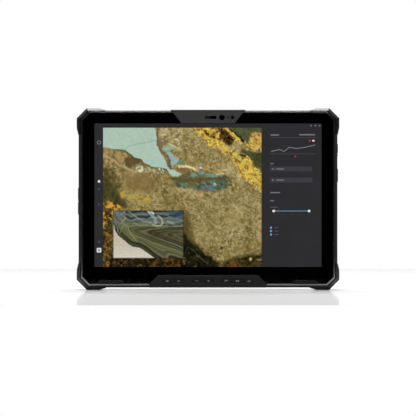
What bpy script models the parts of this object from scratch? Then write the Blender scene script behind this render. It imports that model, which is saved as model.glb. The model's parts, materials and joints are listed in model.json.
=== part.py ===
"""Rugged field tablet, a data collector for survey and geology work.

The tablet stands upright on its long bottom edge: +X runs along the edge to the right, the screen faces -Y,
+Z is up, and the origin is on the floor below the middle of the case. Every length below is in millimetres
and is turned into metres where a mesh is made.
"""

import math

import bmesh
import bpy
from mathutils import Matrix, Vector

MM = 0.001
GAP = 0.3

# Case: the outline without its corner bumpers
CASE_HALF_WIDTH = 147.1
CASE_BOTTOM = 2.65
CASE_TOP = 204.0
CASE_LEG = 9.95
OFFSET_LEG = 2.0 - math.sqrt(2.0)
FRAME_FRONT_Y = -11.7
RIM_SHOULDER_Y = -11.1
RIM_STEP_Y = -10.0
RIM_BACK_Y = -7.0
FRAME_BACK_Y = -3.4
COVER_FRONT_Y = -2.0
COVER_EDGE_Y = 6.8
COVER_BACK_Y = 10.4
WALL = 2.6

# Front bevel, as half width, bottom, top and corner leg
RIM_FRONT = (142.8, 6.55, 201.5, 8.2)
RIM_SHOULDER = (144.1, 5.2, 202.6, 8.6)
RIM_STEP = (144.9, 4.45, 203.1, 8.9)

# Corner bumpers
BUMPER_HALF_WIDTH = 149.3
BUMPER_TOP = 206.4
BUMPER_LEG = 11.3
BUMPER_FRONT_Y = -10.4
BUMPER_WALL_Y = (-6.4, 8.0)
BUMPER_FRONT_INSET = (3.8, 3.9, 2.75)
BUMPER_FRONT_LEG = 9.2
BUMPER_BACK_INSET = 3.0
BUMPER_BACK_LEG = 9.6
HALF_DEPTH = 12.0
BUMPER_REACH_X = 25.0
BUMPER_RAMP_X = 8.0
BUMPER_REACH_Z = 21.0
BUMPER_RAMP_Z = 9.0
REAR_WINDOW_INSET = 5.3
GROOVE_COUNT = 5
GROOVE_PITCH = 2.4
GROOVE_WIDTH = 1.1
GROOVE_DEPTH = 0.7

# Front face
GLASS_HALF_WIDTH = 141.8
GLASS_BOTTOM = 7.2
GLASS_TOP = 200.9
GLASS_LEG = 7.8
GLASS_FRONT_Y = -11.6
GLASS_BACK_Y = -10.5
POCKET_Y = -10.2
STRIP_FRONT_Y = -12.0
PANEL_HALF_WIDTH = 131.5
PANEL_BOTTOM = 23.5
PANEL_TOP = 191.5
PANEL_BACK_Y = -8.8
LIGHT_FRONT_Y = -8.5
LIGHT_BACK_Y = -6.0
WEB_FRONT_Y = -5.7
WEB_BACK_Y = -4.1

# Camera strip
CAMERA_STRIP = {"low": (30.1, 189.1), "high": (42.2, 204.4)}
CAMERA_Z = 195.7
LENS_X = 15.9
STATUS_X = 22.6
INFRARED_X = 27.8
SLOT_X = (-3.5, 9.4)
SLOT_Z = (194.0, 197.4)
SHUTTER_TRAVEL = 6.6

# Button strip and its keys
BUTTON_STRIP = {"edge": (66.6, 2.65), "knee": (66.6, 7.3), "high": (56.4, 16.7)}
KEY_Z = 10.2
KEY_SIZE = (11.3, 4.4)
KEY_X = (-46.2, -33.4, -12.7, 0.5, 20.7, 33.4, 45.9)
KEY_GROUPS = ((-39.8, 24.9), (-6.1, 25.1), (33.3, 38.2))
KEY_TRAVEL = 0.8
KEY_BACK_Y = -9.7

# Edges
DOOR_HINGE_X = 147.15
DOOR_HINGE_Y = 5.3
DOOR_FRONT_Y = -1.0
DOOR_X = (146.6, 148.05)
DOOR_RECESS_X = 146.1
DOOR_PLUG_X = (145.3, 146.8)
HINGE_RADIUS = 0.75
LEFT_DOORS = {"door_left_upper": (101.3, 116.0), "door_left_lower": (85.4, 100.4)}
RIGHT_DOOR = (122.7, 137.5)
POWER_Z = (155.5, 166.1)
POWER_Y = (-0.5, 3.7)
CHARGE_Z = 153.0
EDGE_Y = 1.6
BUTTON_X = (142.9, 148.05)
CHARGE_LIGHT_X = (142.6, 147.9)

# Back
BAY_X = (8.0, 136.0)
BAY_Z = (22.0, 82.0)
BAY_FLOOR_Y = (0.6, 1.6)
BATTERY_BACK_Y = 10.3
LATCH_X = (64.0, 80.0)
LATCH_Z = (85.0, 90.0)
LATCH_TRAVEL = 4.0
DEEP_Y = 8.4
SCREW_PLACES = ((135.5, 190.0), (135.5, 16.5), (48.0, 197.0), (58.0, 13.0))
SCREW_HEAD_Y = (8.9, 10.2)
SCREW_TIP_Y = -7.0
REAR_CAMERA = (-7.0, 177.0)
FLASH = (7.0, 177.0)
WINDOW_HALF = (15.7, 6.7)
GRIP_X = (76.0, 128.0)
GRIP_Z = 108.0
GRIP_COUNT = 9
GRIP_PITCH = 8.0
GRIP_DEPTH = 0.7
STRAP_PLACES = ((56.0, 180.0), (56.0, 104.0))

ROUND = 32
SMALL_ROUND = 20

# Finishes: base colour, roughness, metallic
FRAME_PAINT = ((0.014, 0.014, 0.015), 0.45, 0.0)
COVER_PAINT = ((0.020, 0.020, 0.021), 0.60, 0.0)
BUMPER_RUBBER = ((0.012, 0.012, 0.012), 0.70, 0.0)
STRIP_PLASTIC = ((0.045, 0.045, 0.046), 0.55, 0.0)
KEY_PLASTIC = ((0.020, 0.020, 0.020), 0.45, 0.0)
DOOR_RUBBER = ((0.018, 0.018, 0.018), 0.65, 0.0)
BLACK_GLASS = ((0.002, 0.002, 0.002), 0.05, 0.0)
PANEL_DARK = ((0.03, 0.03, 0.032), 0.30, 0.0)
SHEET_METAL = ((0.55, 0.55, 0.56), 0.35, 1.0)
BOARD_GREEN = ((0.02, 0.10, 0.04), 0.50, 0.0)
COPPER = ((0.72, 0.36, 0.20), 0.35, 1.0)
GOLD = ((0.85, 0.62, 0.25), 0.30, 1.0)
SEAL_RUBBER = ((0.010, 0.010, 0.010), 0.80, 0.0)
LIGHT_GUIDE = ((0.80, 0.80, 0.78), 0.30, 0.0)
SCREW_STEEL = ((0.10, 0.10, 0.10), 0.35, 1.0)
PALE_PLASTIC = ((0.70, 0.70, 0.66), 0.40, 0.0)


# ---------------------------------------------------------------- meshes

def clear_scene():
    for old in list(bpy.data.objects):
        bpy.data.objects.remove(old, do_unlink=True)


def make_object(name, vertices, faces):
    mesh = bpy.data.meshes.new(name)
    mesh.from_pydata([Vector(v) * MM for v in vertices], [], faces)
    shape = bmesh.new()
    shape.from_mesh(mesh)
    bmesh.ops.recalc_face_normals(shape, faces=shape.faces)
    shape.to_mesh(mesh)
    shape.free()
    thing = bpy.data.objects.new(name, mesh)
    bpy.context.collection.objects.link(thing)
    return thing


def loft(name, rings):
    """Close a stack of rings with equal point counts into one solid."""
    count = len(rings[0])
    vertices = [point for ring in rings for point in ring]
    faces = [tuple(range(count)), tuple(range((len(rings) - 1) * count, len(rings) * count))]
    for level in range(len(rings) - 1):
        for i in range(count):
            j = (i + 1) % count
            low = level * count
            high = low + count
            faces.append((low + i, low + j, high + j, high + i))
    return make_object(name, vertices, faces)


def on_axis(axis, pair, along):
    """A 3D point from a flat pair and a place along the axis."""
    a, b = pair
    return {"X": (along, a, b), "Y": (a, along, b), "Z": (a, b, along)}[axis]


def prism(name, outline, start, end, axis="Y"):
    return loft(name, [[on_axis(axis, p, along) for p in outline] for along in (start, end)])


def box(name, x, y, z):
    return prism(name, [(x[0], z[0]), (x[1], z[0]), (x[1], z[1]), (x[0], z[1])], y[0], y[1])


def circle(centre, radius, count=ROUND):
    turns = [2.0 * math.pi * i / count for i in range(count)]
    return [(centre[0] + radius * math.cos(t), centre[1] + radius * math.sin(t)) for t in turns]


def rounded_rectangle(x, z, radius, steps=5):
    """Outline of a rectangle whose corners are quarter circles."""
    points = []
    corners = ((x[1], z[1], 0), (x[0], z[1], 1), (x[0], z[0], 2), (x[1], z[0], 3))
    for corner_x, corner_z, quarter in corners:
        start = quarter * math.pi / 2.0
        centre_x = corner_x - math.copysign(radius, math.cos(start + math.pi / 4.0))
        centre_z = corner_z - math.copysign(radius, math.sin(start + math.pi / 4.0))
        for i in range(steps + 1):
            turn = start + math.pi / 2.0 * i / steps
            points.append((centre_x + radius * math.cos(turn), centre_z + radius * math.sin(turn)))
    return points


def chamfered(half_width, low, high, leg_low, leg_high):
    """Outline of a rectangle about x = 0 with its corners cut at 45 degrees."""
    right = [
        (half_width - leg_low, low), (half_width, low + leg_low),
        (half_width, high - leg_high), (half_width - leg_high, high),
    ]
    return mirrored(right)


def mirrored(right):
    """Complete a right half, listed from the bottom to the top, with its mirror image."""
    return right + [(-x, z) for x, z in reversed(right)]


def offset(outline, distance):
    """Move each edge of an outline listed anticlockwise outwards by the distance."""
    moved = []
    count = len(outline)
    for i, point in enumerate(outline):
        before = Vector(outline[i - 1])
        here = Vector(point)
        after = Vector(outline[(i + 1) % count])
        edge_in = (here - before).normalized()
        edge_out = (after - here).normalized()
        normal_in = Vector((edge_in.y, -edge_in.x))
        normal_out = Vector((edge_out.y, -edge_out.x))
        mitre = (normal_in + normal_out) / (1.0 + normal_in.dot(normal_out))
        moved.append(tuple(here + mitre * distance))
    return moved


def ring(y, outline):
    return [(x, y, z) for x, z in outline]


# ---------------------------------------------------------------- modifiers and finish

def combine(target, other, operation):
    modifier = target.modifiers.new(other.name, "BOOLEAN")
    modifier.operation = operation
    modifier.solver = "EXACT"
    modifier.object = other
    other.hide_render = True
    other.display_type = "WIRE"


def cut(target, *cutters):
    for cutter in cutters:
        combine(target, cutter, "DIFFERENCE")


def join(target, *others):
    for other in others:
        combine(target, other, "UNION")


def soften(target, width, segments=1):
    modifier = target.modifiers.new("soften", "BEVEL")
    modifier.width = width * MM
    modifier.segments = segments
    modifier.limit_method = "ANGLE"
    modifier.angle_limit = math.radians(40.0)


def smooth(target):
    target.data.shade_smooth()
    target.data.set_sharp_from_angle(angle=math.radians(40.0))


def finish(target, look):
    colour, roughness, metallic = look
    material = bpy.data.materials.new(target.name)
    material.use_nodes = True
    shader = material.node_tree.nodes["Principled BSDF"]
    shader.inputs["Base Color"].default_value = (*colour, 1.0)
    shader.inputs["Roughness"].default_value = roughness
    shader.inputs["Metallic"].default_value = metallic
    target.data.materials.append(material)
    return target


def put_origin(target, point):
    """Put the object's origin at a point without moving its shape."""
    place = Vector(point) * MM
    target.data.transform(Matrix.Translation(-place))
    target.location = place
    bpy.context.view_layer.update()


# ---------------------------------------------------------------- shared outlines

def case_outline(inset=0.0):
    leg = CASE_LEG - OFFSET_LEG * inset
    half = CASE_HALF_WIDTH - inset
    return chamfered(half, CASE_BOTTOM + inset, CASE_TOP - inset, leg, leg)


def rim_outline(rim, grow=0.0):
    """One line of the front bevel, from the flat rim round the glass out to the case wall."""
    half, bottom, top, leg = rim
    return offset(chamfered(half, bottom, top, leg, leg), grow)


def glass_outline(grow=0.0):
    """Cover glass: notched for the camera strip, the button strip and two grip lands."""
    right = [
        (56.6, 17.1), (66.9, 7.2), (94.9, 7.2), (98.1, 10.9), (122.1, 10.9), (125.4, 7.2),
        (GLASS_HALF_WIDTH - GLASS_LEG, GLASS_BOTTOM), (GLASS_HALF_WIDTH, GLASS_BOTTOM + GLASS_LEG),
        (GLASS_HALF_WIDTH, GLASS_TOP - GLASS_LEG), (GLASS_HALF_WIDTH - GLASS_LEG, GLASS_TOP),
        (39.9, GLASS_TOP), (30.3, 188.7),
    ]
    return offset(mirrored(right), grow)


def camera_strip_outline(grow=0.0, top=CAMERA_STRIP["high"][1]):
    low_x, low_z = CAMERA_STRIP["low"]
    high_x, high_z = CAMERA_STRIP["high"]
    return offset(mirrored([(low_x, low_z), (high_x, high_z), (high_x, top + 0.01)]), grow)


def button_strip_outline(grow=0.0, bottom=BUTTON_STRIP["edge"][1]):
    edge_x = BUTTON_STRIP["edge"][0]
    return offset(mirrored([(edge_x, bottom), BUTTON_STRIP["knee"], BUTTON_STRIP["high"]]), grow)


def case_solid(name, grow=0.0):
    """The closed case as one solid, grown outwards for use as a cutter."""
    back_inset = COVER_BACK_Y - COVER_EDGE_Y
    return loft(name, [
        ring(FRAME_FRONT_Y - grow, rim_outline(RIM_FRONT, grow)),
        ring(RIM_STEP_Y, rim_outline(RIM_STEP, grow)),
        ring(RIM_BACK_Y, case_outline(-grow)), ring(COVER_EDGE_Y, case_outline(-grow)),
        ring(COVER_BACK_Y, case_outline(back_inset - grow)),
    ])


def around(value, half):
    return (value - half, value + half)


def sided(side, a, b):
    """A range on the right (side 1), or its mirror image on the left (side -1)."""
    return tuple(sorted((side * a, side * b)))


# ---------------------------------------------------------------- case

def build_front_frame():
    frame = loft("front_frame", [
        ring(FRAME_FRONT_Y, rim_outline(RIM_FRONT)), ring(RIM_SHOULDER_Y, rim_outline(RIM_SHOULDER)),
        ring(RIM_STEP_Y, rim_outline(RIM_STEP)), ring(RIM_BACK_Y, case_outline()),
        ring(FRAME_BACK_Y, case_outline()),
    ])
    strip_x = CAMERA_STRIP["high"][0] + GAP
    edge_x = BUTTON_STRIP["edge"][0] + GAP
    cut(
        frame,
        prism("cut_glass", glass_outline(GAP), -14, POCKET_Y),
        prism("cut_camera_strip", camera_strip_outline(GAP, 208), -14, POCKET_Y),
        prism("cut_button_strip", button_strip_outline(GAP, -2), -14, POCKET_Y),
        box("cut_top_lip", (-strip_x, strip_x), (POCKET_Y - 1, -4.2), (202.9, 208)),
        box("cut_bottom_lip", (-edge_x, edge_x), (POCKET_Y - 1, -4.7), (-2, 4.15)),
        box("cut_panel", (-131.8, 131.8), (-14, WEB_FRONT_Y), (23.2, 191.8)),
        box("cut_camera", (-6.0, 31.5), (-14, -5.9), (192.3, 200.5)),
        box("cut_keypad", (-54.0, 54.0), (-14, -7.4), (6.6, 14.2)),
        prism("cut_web", case_outline(WALL), WEB_BACK_Y, 0),
        box("cut_left_hollow", (-144.0, -134.0), (-8.2, 0), (26.0, 180.0)),
        box("cut_right_hollow", (134.0, 144.0), (-8.2, 0), (26.0, 180.0)),
        box("cut_antenna_left", (-128.0, -54.0), (-8.2, 0), (194.4, 200.6)),
        box("cut_antenna_right", (54.0, 128.0), (-8.2, 0), (194.4, 200.6)),
        box("cut_low_left", (-126.0, -66.0), (-8.2, 0), (7.0, 20.4)),
        box("cut_low_right", (66.0, 126.0), (-8.2, 0), (7.0, 20.4)),
    )
    for index, (x, z) in enumerate(screw_places()):
        cut(frame, prism(f"cut_frame_thread_{index}", circle((x, z), 1.5, 12), -7.6, 0))
    finish(frame, FRAME_PAINT)


def screw_places():
    return [(side * x, z) for x, z in SCREW_PLACES for side in (-1, 1)]


def build_case_gasket():
    seal = prism("case_gasket", case_outline(0.7), FRAME_BACK_Y + GAP, COVER_FRONT_Y - GAP)
    cut(seal, prism("cut_gasket", case_outline(2.3), -6, 0))
    finish(seal, SEAL_RUBBER)


def build_rear_cover():
    back_inset = COVER_BACK_Y - COVER_EDGE_Y
    cover = loft("rear_cover", [
        ring(COVER_FRONT_Y, case_outline()), ring(COVER_EDGE_Y, case_outline()),
        ring(COVER_BACK_Y, case_outline(back_inset)),
    ])
    bay_top = BAY_Z[1] + 2.0
    cut(
        cover,
        prism("cut_shallow", case_outline(WALL), -5, BAY_FLOOR_Y[0]),
        prism("cut_upper", chamfered(143.6, 94.5, 200.8, 0.5, 9.0), -5, DEEP_Y),
        prism("cut_lower", chamfered(143.6, 5.9, BAY_Z[0] - 2.0, 9.0, 0.5), -5, DEEP_Y),
        box("cut_middle", (-143.6, 143.6), (-5, 5.0), (bay_top, 96.0)),
        box("cut_spine", (-5.0, 5.0), (-5, DEEP_Y), (18.0, 88.0)),
    )
    latch_x = (LATCH_X[0] - 0.4, LATCH_X[1] + LATCH_TRAVEL + 0.4)
    for side, label in ((-1, "left"), (1, "right")):
        cut(
            cover,
            box(f"cut_side_{label}", sided(side, 138.0, 143.6), (-5, DEEP_Y), (18.0, 88.0)),
            box(f"cut_bay_{label}", sided(side, *BAY_X), (BAY_FLOOR_Y[1], 14), BAY_Z),
            box(f"cut_latch_slot_{label}", sided(side, *latch_x), (6.0, 14), (84.6, 90.4)),
            box(f"cut_latch_base_{label}", sided(side, *latch_x), (6.0, 8.0), (83.4, 91.6)),
            box(f"cut_tongue_{label}", sided(side, 67.0, 81.4), (6.2, 8.0), (81.0, 84.0)),
            box(f"cut_contacts_{label}", sided(side, 59.7, 84.3), (-2, 4), (29.7, 36.3)),
        )
        for i in range(5):
            z = 9.2 + 2.0 * i
            cut(cover, box(f"cut_grille_{label}_{i}", sided(side, 98.0, 116.0), (7, 14), (z, z + 1.0)))
        for i in range(GRIP_COUNT):
            z = GRIP_Z + GRIP_PITCH * i
            groove_y = (COVER_BACK_Y - GRIP_DEPTH, 14)
            cut(cover, box(f"cut_grip_{label}_{i}", sided(side, *GRIP_X), groove_y, (z, z + 2.4)))
        for i, (x, z) in enumerate(STRAP_PLACES):
            anchor = circle((side * x, z), 4.0, SMALL_ROUND)
            cut(cover, prism(f"cut_anchor_{label}_{i}", anchor, COVER_BACK_Y - 1.0, 14))
    bosses = screw_places()
    for index, (x, z) in enumerate(bosses):
        join(cover, prism(f"add_boss_{index}", circle((x, z), 3.2, 16), COVER_FRONT_Y, 9.0))
    for index, (x, z) in enumerate(bosses):
        cut(
            cover,
            prism(f"cut_head_{index}", circle((x, z), 2.8, 16), SCREW_HEAD_Y[0] - GAP, 14),
            prism(f"cut_shank_{index}", circle((x, z), 1.5, 12), -5, 14),
        )
    cut(
        cover,
        prism("cut_window", rounded_rectangle((-16.0, 16.0), (170.0, 184.0), 3.0), 9.2, 14),
        prism("cut_rear_lens", circle(REAR_CAMERA, 4.5), 7, 14),
        prism("cut_flash", circle(FLASH, 2.2, SMALL_ROUND), 7, 14),
        box("cut_left_doors", (-152, -DOOR_RECESS_X), (-1.4, 6.4), (85.0, 116.4)),
        box("cut_right_door", (DOOR_RECESS_X, 152), (-1.4, 6.4), (122.3, 137.9)),
        box("cut_port_upper", (-150, -140), (-0.6, 4.4), (103.2, 114.1)),
        box("cut_port_lower", (-150, -140), (-0.6, 4.4), (87.4, 98.4)),
        box("cut_port_right", (140, 150), (-0.6, 4.4), (124.8, 135.4)),
        prism("cut_power", power_outline(GAP), 140, 150, "X"),
        prism("cut_charge", circle((EDGE_Y, CHARGE_Z), 1.75, SMALL_ROUND), 140, 150, "X"),
        box("cut_dock", (-24.0, 24.0), (0.4, 6.4), (-2, 8.0)),
    )
    finish(cover, COVER_PAINT)


# ---------------------------------------------------------------- bumpers

def bumper_region(name, side_x, side_z):
    """Everything near one corner. Its two free ends ramp down to the case wall in an S-curve."""
    ramp = [i / 6.0 for i in range(7)]
    ease = [t * t * (3.0 - 2.0 * t) for t in ramp]
    drop_z = BUMPER_TOP - CASE_TOP - GAP - 0.3
    drop_x = BUMPER_HALF_WIDTH - CASE_HALF_WIDTH - GAP - 0.3
    along_top = [
        (BUMPER_HALF_WIDTH - BUMPER_REACH_X - BUMPER_RAMP_X * t, BUMPER_TOP - drop_z * e)
        for t, e in zip(ramp, ease)
    ]
    down_side = [
        (BUMPER_HALF_WIDTH - drop_x * e, BUMPER_TOP - BUMPER_REACH_Z - BUMPER_RAMP_Z * t)
        for t, e in zip(ramp, ease)
    ]
    beyond = 20.0
    outside = [
        (BUMPER_HALF_WIDTH + beyond, down_side[0][1]), (BUMPER_HALF_WIDTH + beyond, BUMPER_TOP + beyond),
        (along_top[0][0], BUMPER_TOP + beyond),
    ]
    inside = [(along_top[-1][0], down_side[-1][1])]
    outline = list(reversed(down_side)) + outside + along_top + inside
    return prism(name, place_corner(outline, side_x, side_z), -15, 15)


def corner_groove(name, side_x, side_z, shift):
    """Cutter for one groove across the corner facet, a distance along it from its middle."""
    along = Vector((1.0, -1.0)).normalized()
    out = Vector((1.0, 1.0)).normalized()
    half_leg = BUMPER_LEG / 2.0
    centre = Vector((BUMPER_HALF_WIDTH - half_leg, BUMPER_TOP - half_leg)) + along * shift
    half = GROOVE_WIDTH / 2.0
    corners = ((-half, -GROOVE_DEPTH), (half, -GROOVE_DEPTH), (half, 3.0), (-half, 3.0))
    outline = [centre + along * a + out * b for a, b in corners]
    return prism(name, place_corner(outline, side_x, side_z), -6.0, 6.0)


def place_corner(outline, side_x, side_z):
    """Mirror an outline drawn at the top right corner to any corner of the tablet."""
    middle = BUMPER_TOP / 2.0
    return [(side_x * x, middle + side_z * (z - middle)) for x, z in outline]


def build_bumper(name, side_x, side_z):
    high = BUMPER_TOP
    half = BUMPER_HALF_WIDTH
    side, low, top = BUMPER_FRONT_INSET
    wall = chamfered(half, 0, high, BUMPER_LEG, BUMPER_LEG)
    front = chamfered(half - side, low, high - top, BUMPER_FRONT_LEG, BUMPER_FRONT_LEG)
    inset = BUMPER_BACK_INSET
    back = chamfered(half - inset, inset, high - inset, BUMPER_BACK_LEG, BUMPER_BACK_LEG)
    bumper = loft(name, [
        ring(BUMPER_FRONT_Y, front), ring(BUMPER_WALL_Y[0], wall),
        ring(BUMPER_WALL_Y[1], wall), ring(HALF_DEPTH, back),
    ])
    combine(bumper, bumper_region(f"cut_region_{name}", side_x, side_z), "INTERSECT")
    cut(
        bumper,
        case_solid(f"cut_case_{name}", GAP),
        prism(f"cut_front_{name}", rim_outline(RIM_STEP, GAP), -15, -9.9),
        prism(f"cut_back_{name}", case_outline(REAR_WINDOW_INSET), 8, 15),
    )
    for i in range(GROOVE_COUNT):
        shift = GROOVE_PITCH * (i - (GROOVE_COUNT - 1) / 2.0)
        cut(bumper, corner_groove(f"cut_groove_{name}_{i}", side_x, side_z, shift))
    finish(bumper, BUMPER_RUBBER)


# ---------------------------------------------------------------- front face

def build_touch_glass():
    finish(prism("touch_glass", glass_outline(), GLASS_FRONT_Y, GLASS_BACK_Y), BLACK_GLASS)


def build_display():
    panel_x = (-PANEL_HALF_WIDTH, PANEL_HALF_WIDTH)
    panel_z = (PANEL_BOTTOM, PANEL_TOP)
    panel = box("lcd_panel", panel_x, (POCKET_Y, PANEL_BACK_Y), panel_z)
    finish(panel, PANEL_DARK)
    light = box("backlight_unit", panel_x, (LIGHT_FRONT_Y, LIGHT_BACK_Y), panel_z)
    soften(light, 0.4)
    finish(light, PALE_PLASTIC)


def build_camera_strip():
    strip = prism("camera_strip", camera_strip_outline(), STRIP_FRONT_Y, GLASS_BACK_Y)
    half = CAMERA_STRIP["high"][0]
    join(strip, box("add_top_lip", (-half, half), (-11.0, -4.5), (203.2, 204.41)))
    cut(
        strip,
        box("cut_shutter_slot", SLOT_X, (-14, -8), SLOT_Z),
        prism("cut_front_lens", circle((LENS_X, CAMERA_Z), 3.2), -14, -8),
        prism("cut_infrared", circle((INFRARED_X, CAMERA_Z), 2.15, SMALL_ROUND), -14, -8),
        prism("cut_status", circle((STATUS_X, CAMERA_Z), 1.05, 12), -14, -8),
    )
    finish(strip, STRIP_PLASTIC)


def build_front_camera():
    camera = prism("front_camera", circle((LENS_X, CAMERA_Z), 2.6), -9.3, -6.6)
    join(camera, box("add_camera_base", around(LENS_X, 4.5), (-7.4, -6.2), around(CAMERA_Z + 0.7, 3.4)))
    finish(camera, BLACK_GLASS)
    smooth(camera)
    infrared = prism("infrared_window", circle((INFRARED_X, CAMERA_Z), 1.85, SMALL_ROUND), -11.8, -10.8)
    finish(infrared, BLACK_GLASS)
    smooth(infrared)
    status = prism("status_light", circle((STATUS_X, CAMERA_Z), 0.75, 12), -11.8, -10.8)
    finish(status, LIGHT_GUIDE)
    smooth(status)


def build_shutter_slider():
    """Knob in the strip's slot, joined through it to the blade that covers the lens."""
    knob_x = (SLOT_X[0] + GAP, SLOT_X[1] - GAP - SHUTTER_TRAVEL)
    knob_z = (SLOT_Z[0] + GAP, SLOT_Z[1] - GAP)
    slider = box("shutter_slider", knob_x, (-11.9, -9.9), knob_z)
    blade = box("add_blade", (knob_x[0], LENS_X - 3.6), (-10.1, -9.7), (192.7, 199.6))
    join(slider, blade)
    centre = (sum(knob_x) / 2.0, -11.0, CAMERA_Z)
    finish(slider, KEY_PLASTIC)
    put_origin(slider, centre)


def build_button_strip():
    strip = prism("button_strip", button_strip_outline(), STRIP_FRONT_Y, GLASS_BACK_Y)
    half = BUTTON_STRIP["edge"][0]
    join(strip, box("add_bottom_lip", (-half, half), (-11.0, -5.0), (2.65, 3.85)))
    for index, (x, width) in enumerate(KEY_GROUPS):
        pill = rounded_rectangle(around(x, width / 2.0), around(KEY_Z, 2.9), 2.8)
        cut(strip, prism(f"cut_pill_{index}", pill, -14, -11.6))
    for index, x in enumerate(KEY_X):
        hole = key_outline(x, GAP)
        cut(strip, prism(f"cut_key_{index}", hole, -14, -8))
    finish(strip, STRIP_PLASTIC)


def key_outline(x, grow=0.0):
    width, height = KEY_SIZE
    return rounded_rectangle(around(x, width / 2.0 + grow), around(KEY_Z, height / 2.0 + grow), 1.2, 3)


def build_keys():
    for index, x in enumerate(KEY_X):
        key = prism(f"key_{index + 1}", key_outline(x), -11.9, -9.9)
        join(key, box(f"add_flange_{index}", around(x, 5.6), (POCKET_Y, KEY_BACK_Y), around(KEY_Z, 3.2)))
        finish(key, KEY_PLASTIC)
        put_origin(key, (x, -11.9, KEY_Z))


def build_key_membrane():
    dome_y = KEY_BACK_Y + KEY_TRAVEL + 0.2
    sheet = box("key_membrane", (-53.4, 53.4), (-8.3, -7.7), (7.1, 13.8))
    for index, x in enumerate(KEY_X):
        join(sheet, prism(f"add_dome_{index}", circle((x, KEY_Z), 1.8, 12), dome_y, -8.1))
    finish(sheet, SEAL_RUBBER)


# ---------------------------------------------------------------- edges

def build_door(name, side, z):
    """Rigid door with a seal plug, turning about the barrel along its rear edge."""
    door = box(name, sided(side, *DOOR_X), (DOOR_FRONT_Y, DOOR_HINGE_Y), z)
    round_pin = circle((side * DOOR_HINGE_X, DOOR_HINGE_Y), HINGE_RADIUS, SMALL_ROUND)
    barrel = prism(f"add_barrel_{name}", round_pin, z[0], z[1], "Z")
    plug = box(f"add_plug_{name}", sided(side, *DOOR_PLUG_X), (0.2, 4.1), (z[0] + 2.4, z[1] - 2.4))
    join(door, barrel, plug)
    finish(door, DOOR_RUBBER)
    put_origin(door, (side * DOOR_HINGE_X, DOOR_HINGE_Y, sum(z) / 2.0))


def build_sockets():
    places = {
        "socket_left_upper": (-1, 108.65), "socket_left_lower": (-1, 92.9), "socket_right": (1, 130.1),
    }
    for name, (side, z) in places.items():
        socket = box(name, sided(side, 136.0, 143.2), (0.3, 3.9), around(z, 4.6))
        if side < 0:
            mouth = rounded_rectangle((0.82, 3.38), around(z, 4.17), 1.2, 4)
            cut(socket, prism(f"cut_mouth_{name}", mouth, -150, -137.5, "X"))
        else:
            cut(socket, prism(f"cut_mouth_{name}", circle((2.1, z), 1.35, SMALL_ROUND), 137.5, 150, "X"))
        finish(socket, SHEET_METAL)


def power_outline(grow=0.0):
    y = (POWER_Y[0] - grow, POWER_Y[1] + grow)
    z = (POWER_Z[0] - grow, POWER_Z[1] + grow)
    return rounded_rectangle(y, z, 1.9 + grow)


def build_power_button():
    button = prism("power_button", power_outline(), BUTTON_X[0], BUTTON_X[1], "X")
    join(button, box("add_power_flange", (142.5, 143.3), (-1.3, 4.5), (154.9, 166.7)))
    finish(button, KEY_PLASTIC)
    put_origin(button, (BUTTON_X[1], EDGE_Y, sum(POWER_Z) / 2.0))
    switch = box("power_switch", (136.5, 141.3), around(EDGE_Y, 1.2), around(160.8, 2.6))
    finish(switch, SHEET_METAL)
    lens = circle((EDGE_Y, CHARGE_Z), 1.45, SMALL_ROUND)
    light = prism("charge_light", lens, CHARGE_LIGHT_X[0], CHARGE_LIGHT_X[1], "X")
    finish(light, LIGHT_GUIDE)
    smooth(light)


def build_docking_connector():
    dock = box("docking_connector", (-23.7, 23.7), (0.7, 6.1), (3.4, 10.0))
    for i in range(8):
        x = -17.5 + 5.0 * i
        cut(dock, prism(f"cut_pad_{i}", circle((x, 3.4), 1.3, 12), 2.0, 3.9, "Z"))
    finish(dock, GOLD)


# ---------------------------------------------------------------- inside

def build_boards():
    board = prism("main_board", rounded_rectangle((-134, 134), (100, 186), 4.0, 3), -1.6, 0.0)
    finish(board, BOARD_GREEN)
    spreader = box("heat_spreader", (-60, 60), (0.4, 1.6), (104, 164))
    for i in range(6):
        x = -50.0 + 20.0 * i
        join(spreader, box(f"add_fin_{i}", (x - 1.5, x + 1.5), (1.2, 5.5), (108, 160)))
    finish(spreader, COPPER)
    storage = box("storage_module", (72, 94), (0.4, 3.4), (104, 184))
    finish(storage, BOARD_GREEN)
    radio = box("radio_module", (-104, -74), (0.4, 2.8), (150, 180))
    soften(radio, 0.5)
    finish(radio, SHEET_METAL)


def build_antennas_and_speakers():
    for side, label in ((-1, "left"), (1, "right")):
        antenna = box(f"antenna_{label}", sided(side, 60.0, 122.0), (-7.6, -6.8), (195.2, 199.8))
        finish(antenna, COPPER)
        outline = rounded_rectangle(sided(side, 90, 124), (7.6, 18.6), 3.0)
        speaker = prism(f"speaker_{label}", outline, 2.6, 7.9)
        finish(speaker, SEAL_RUBBER)


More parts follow.
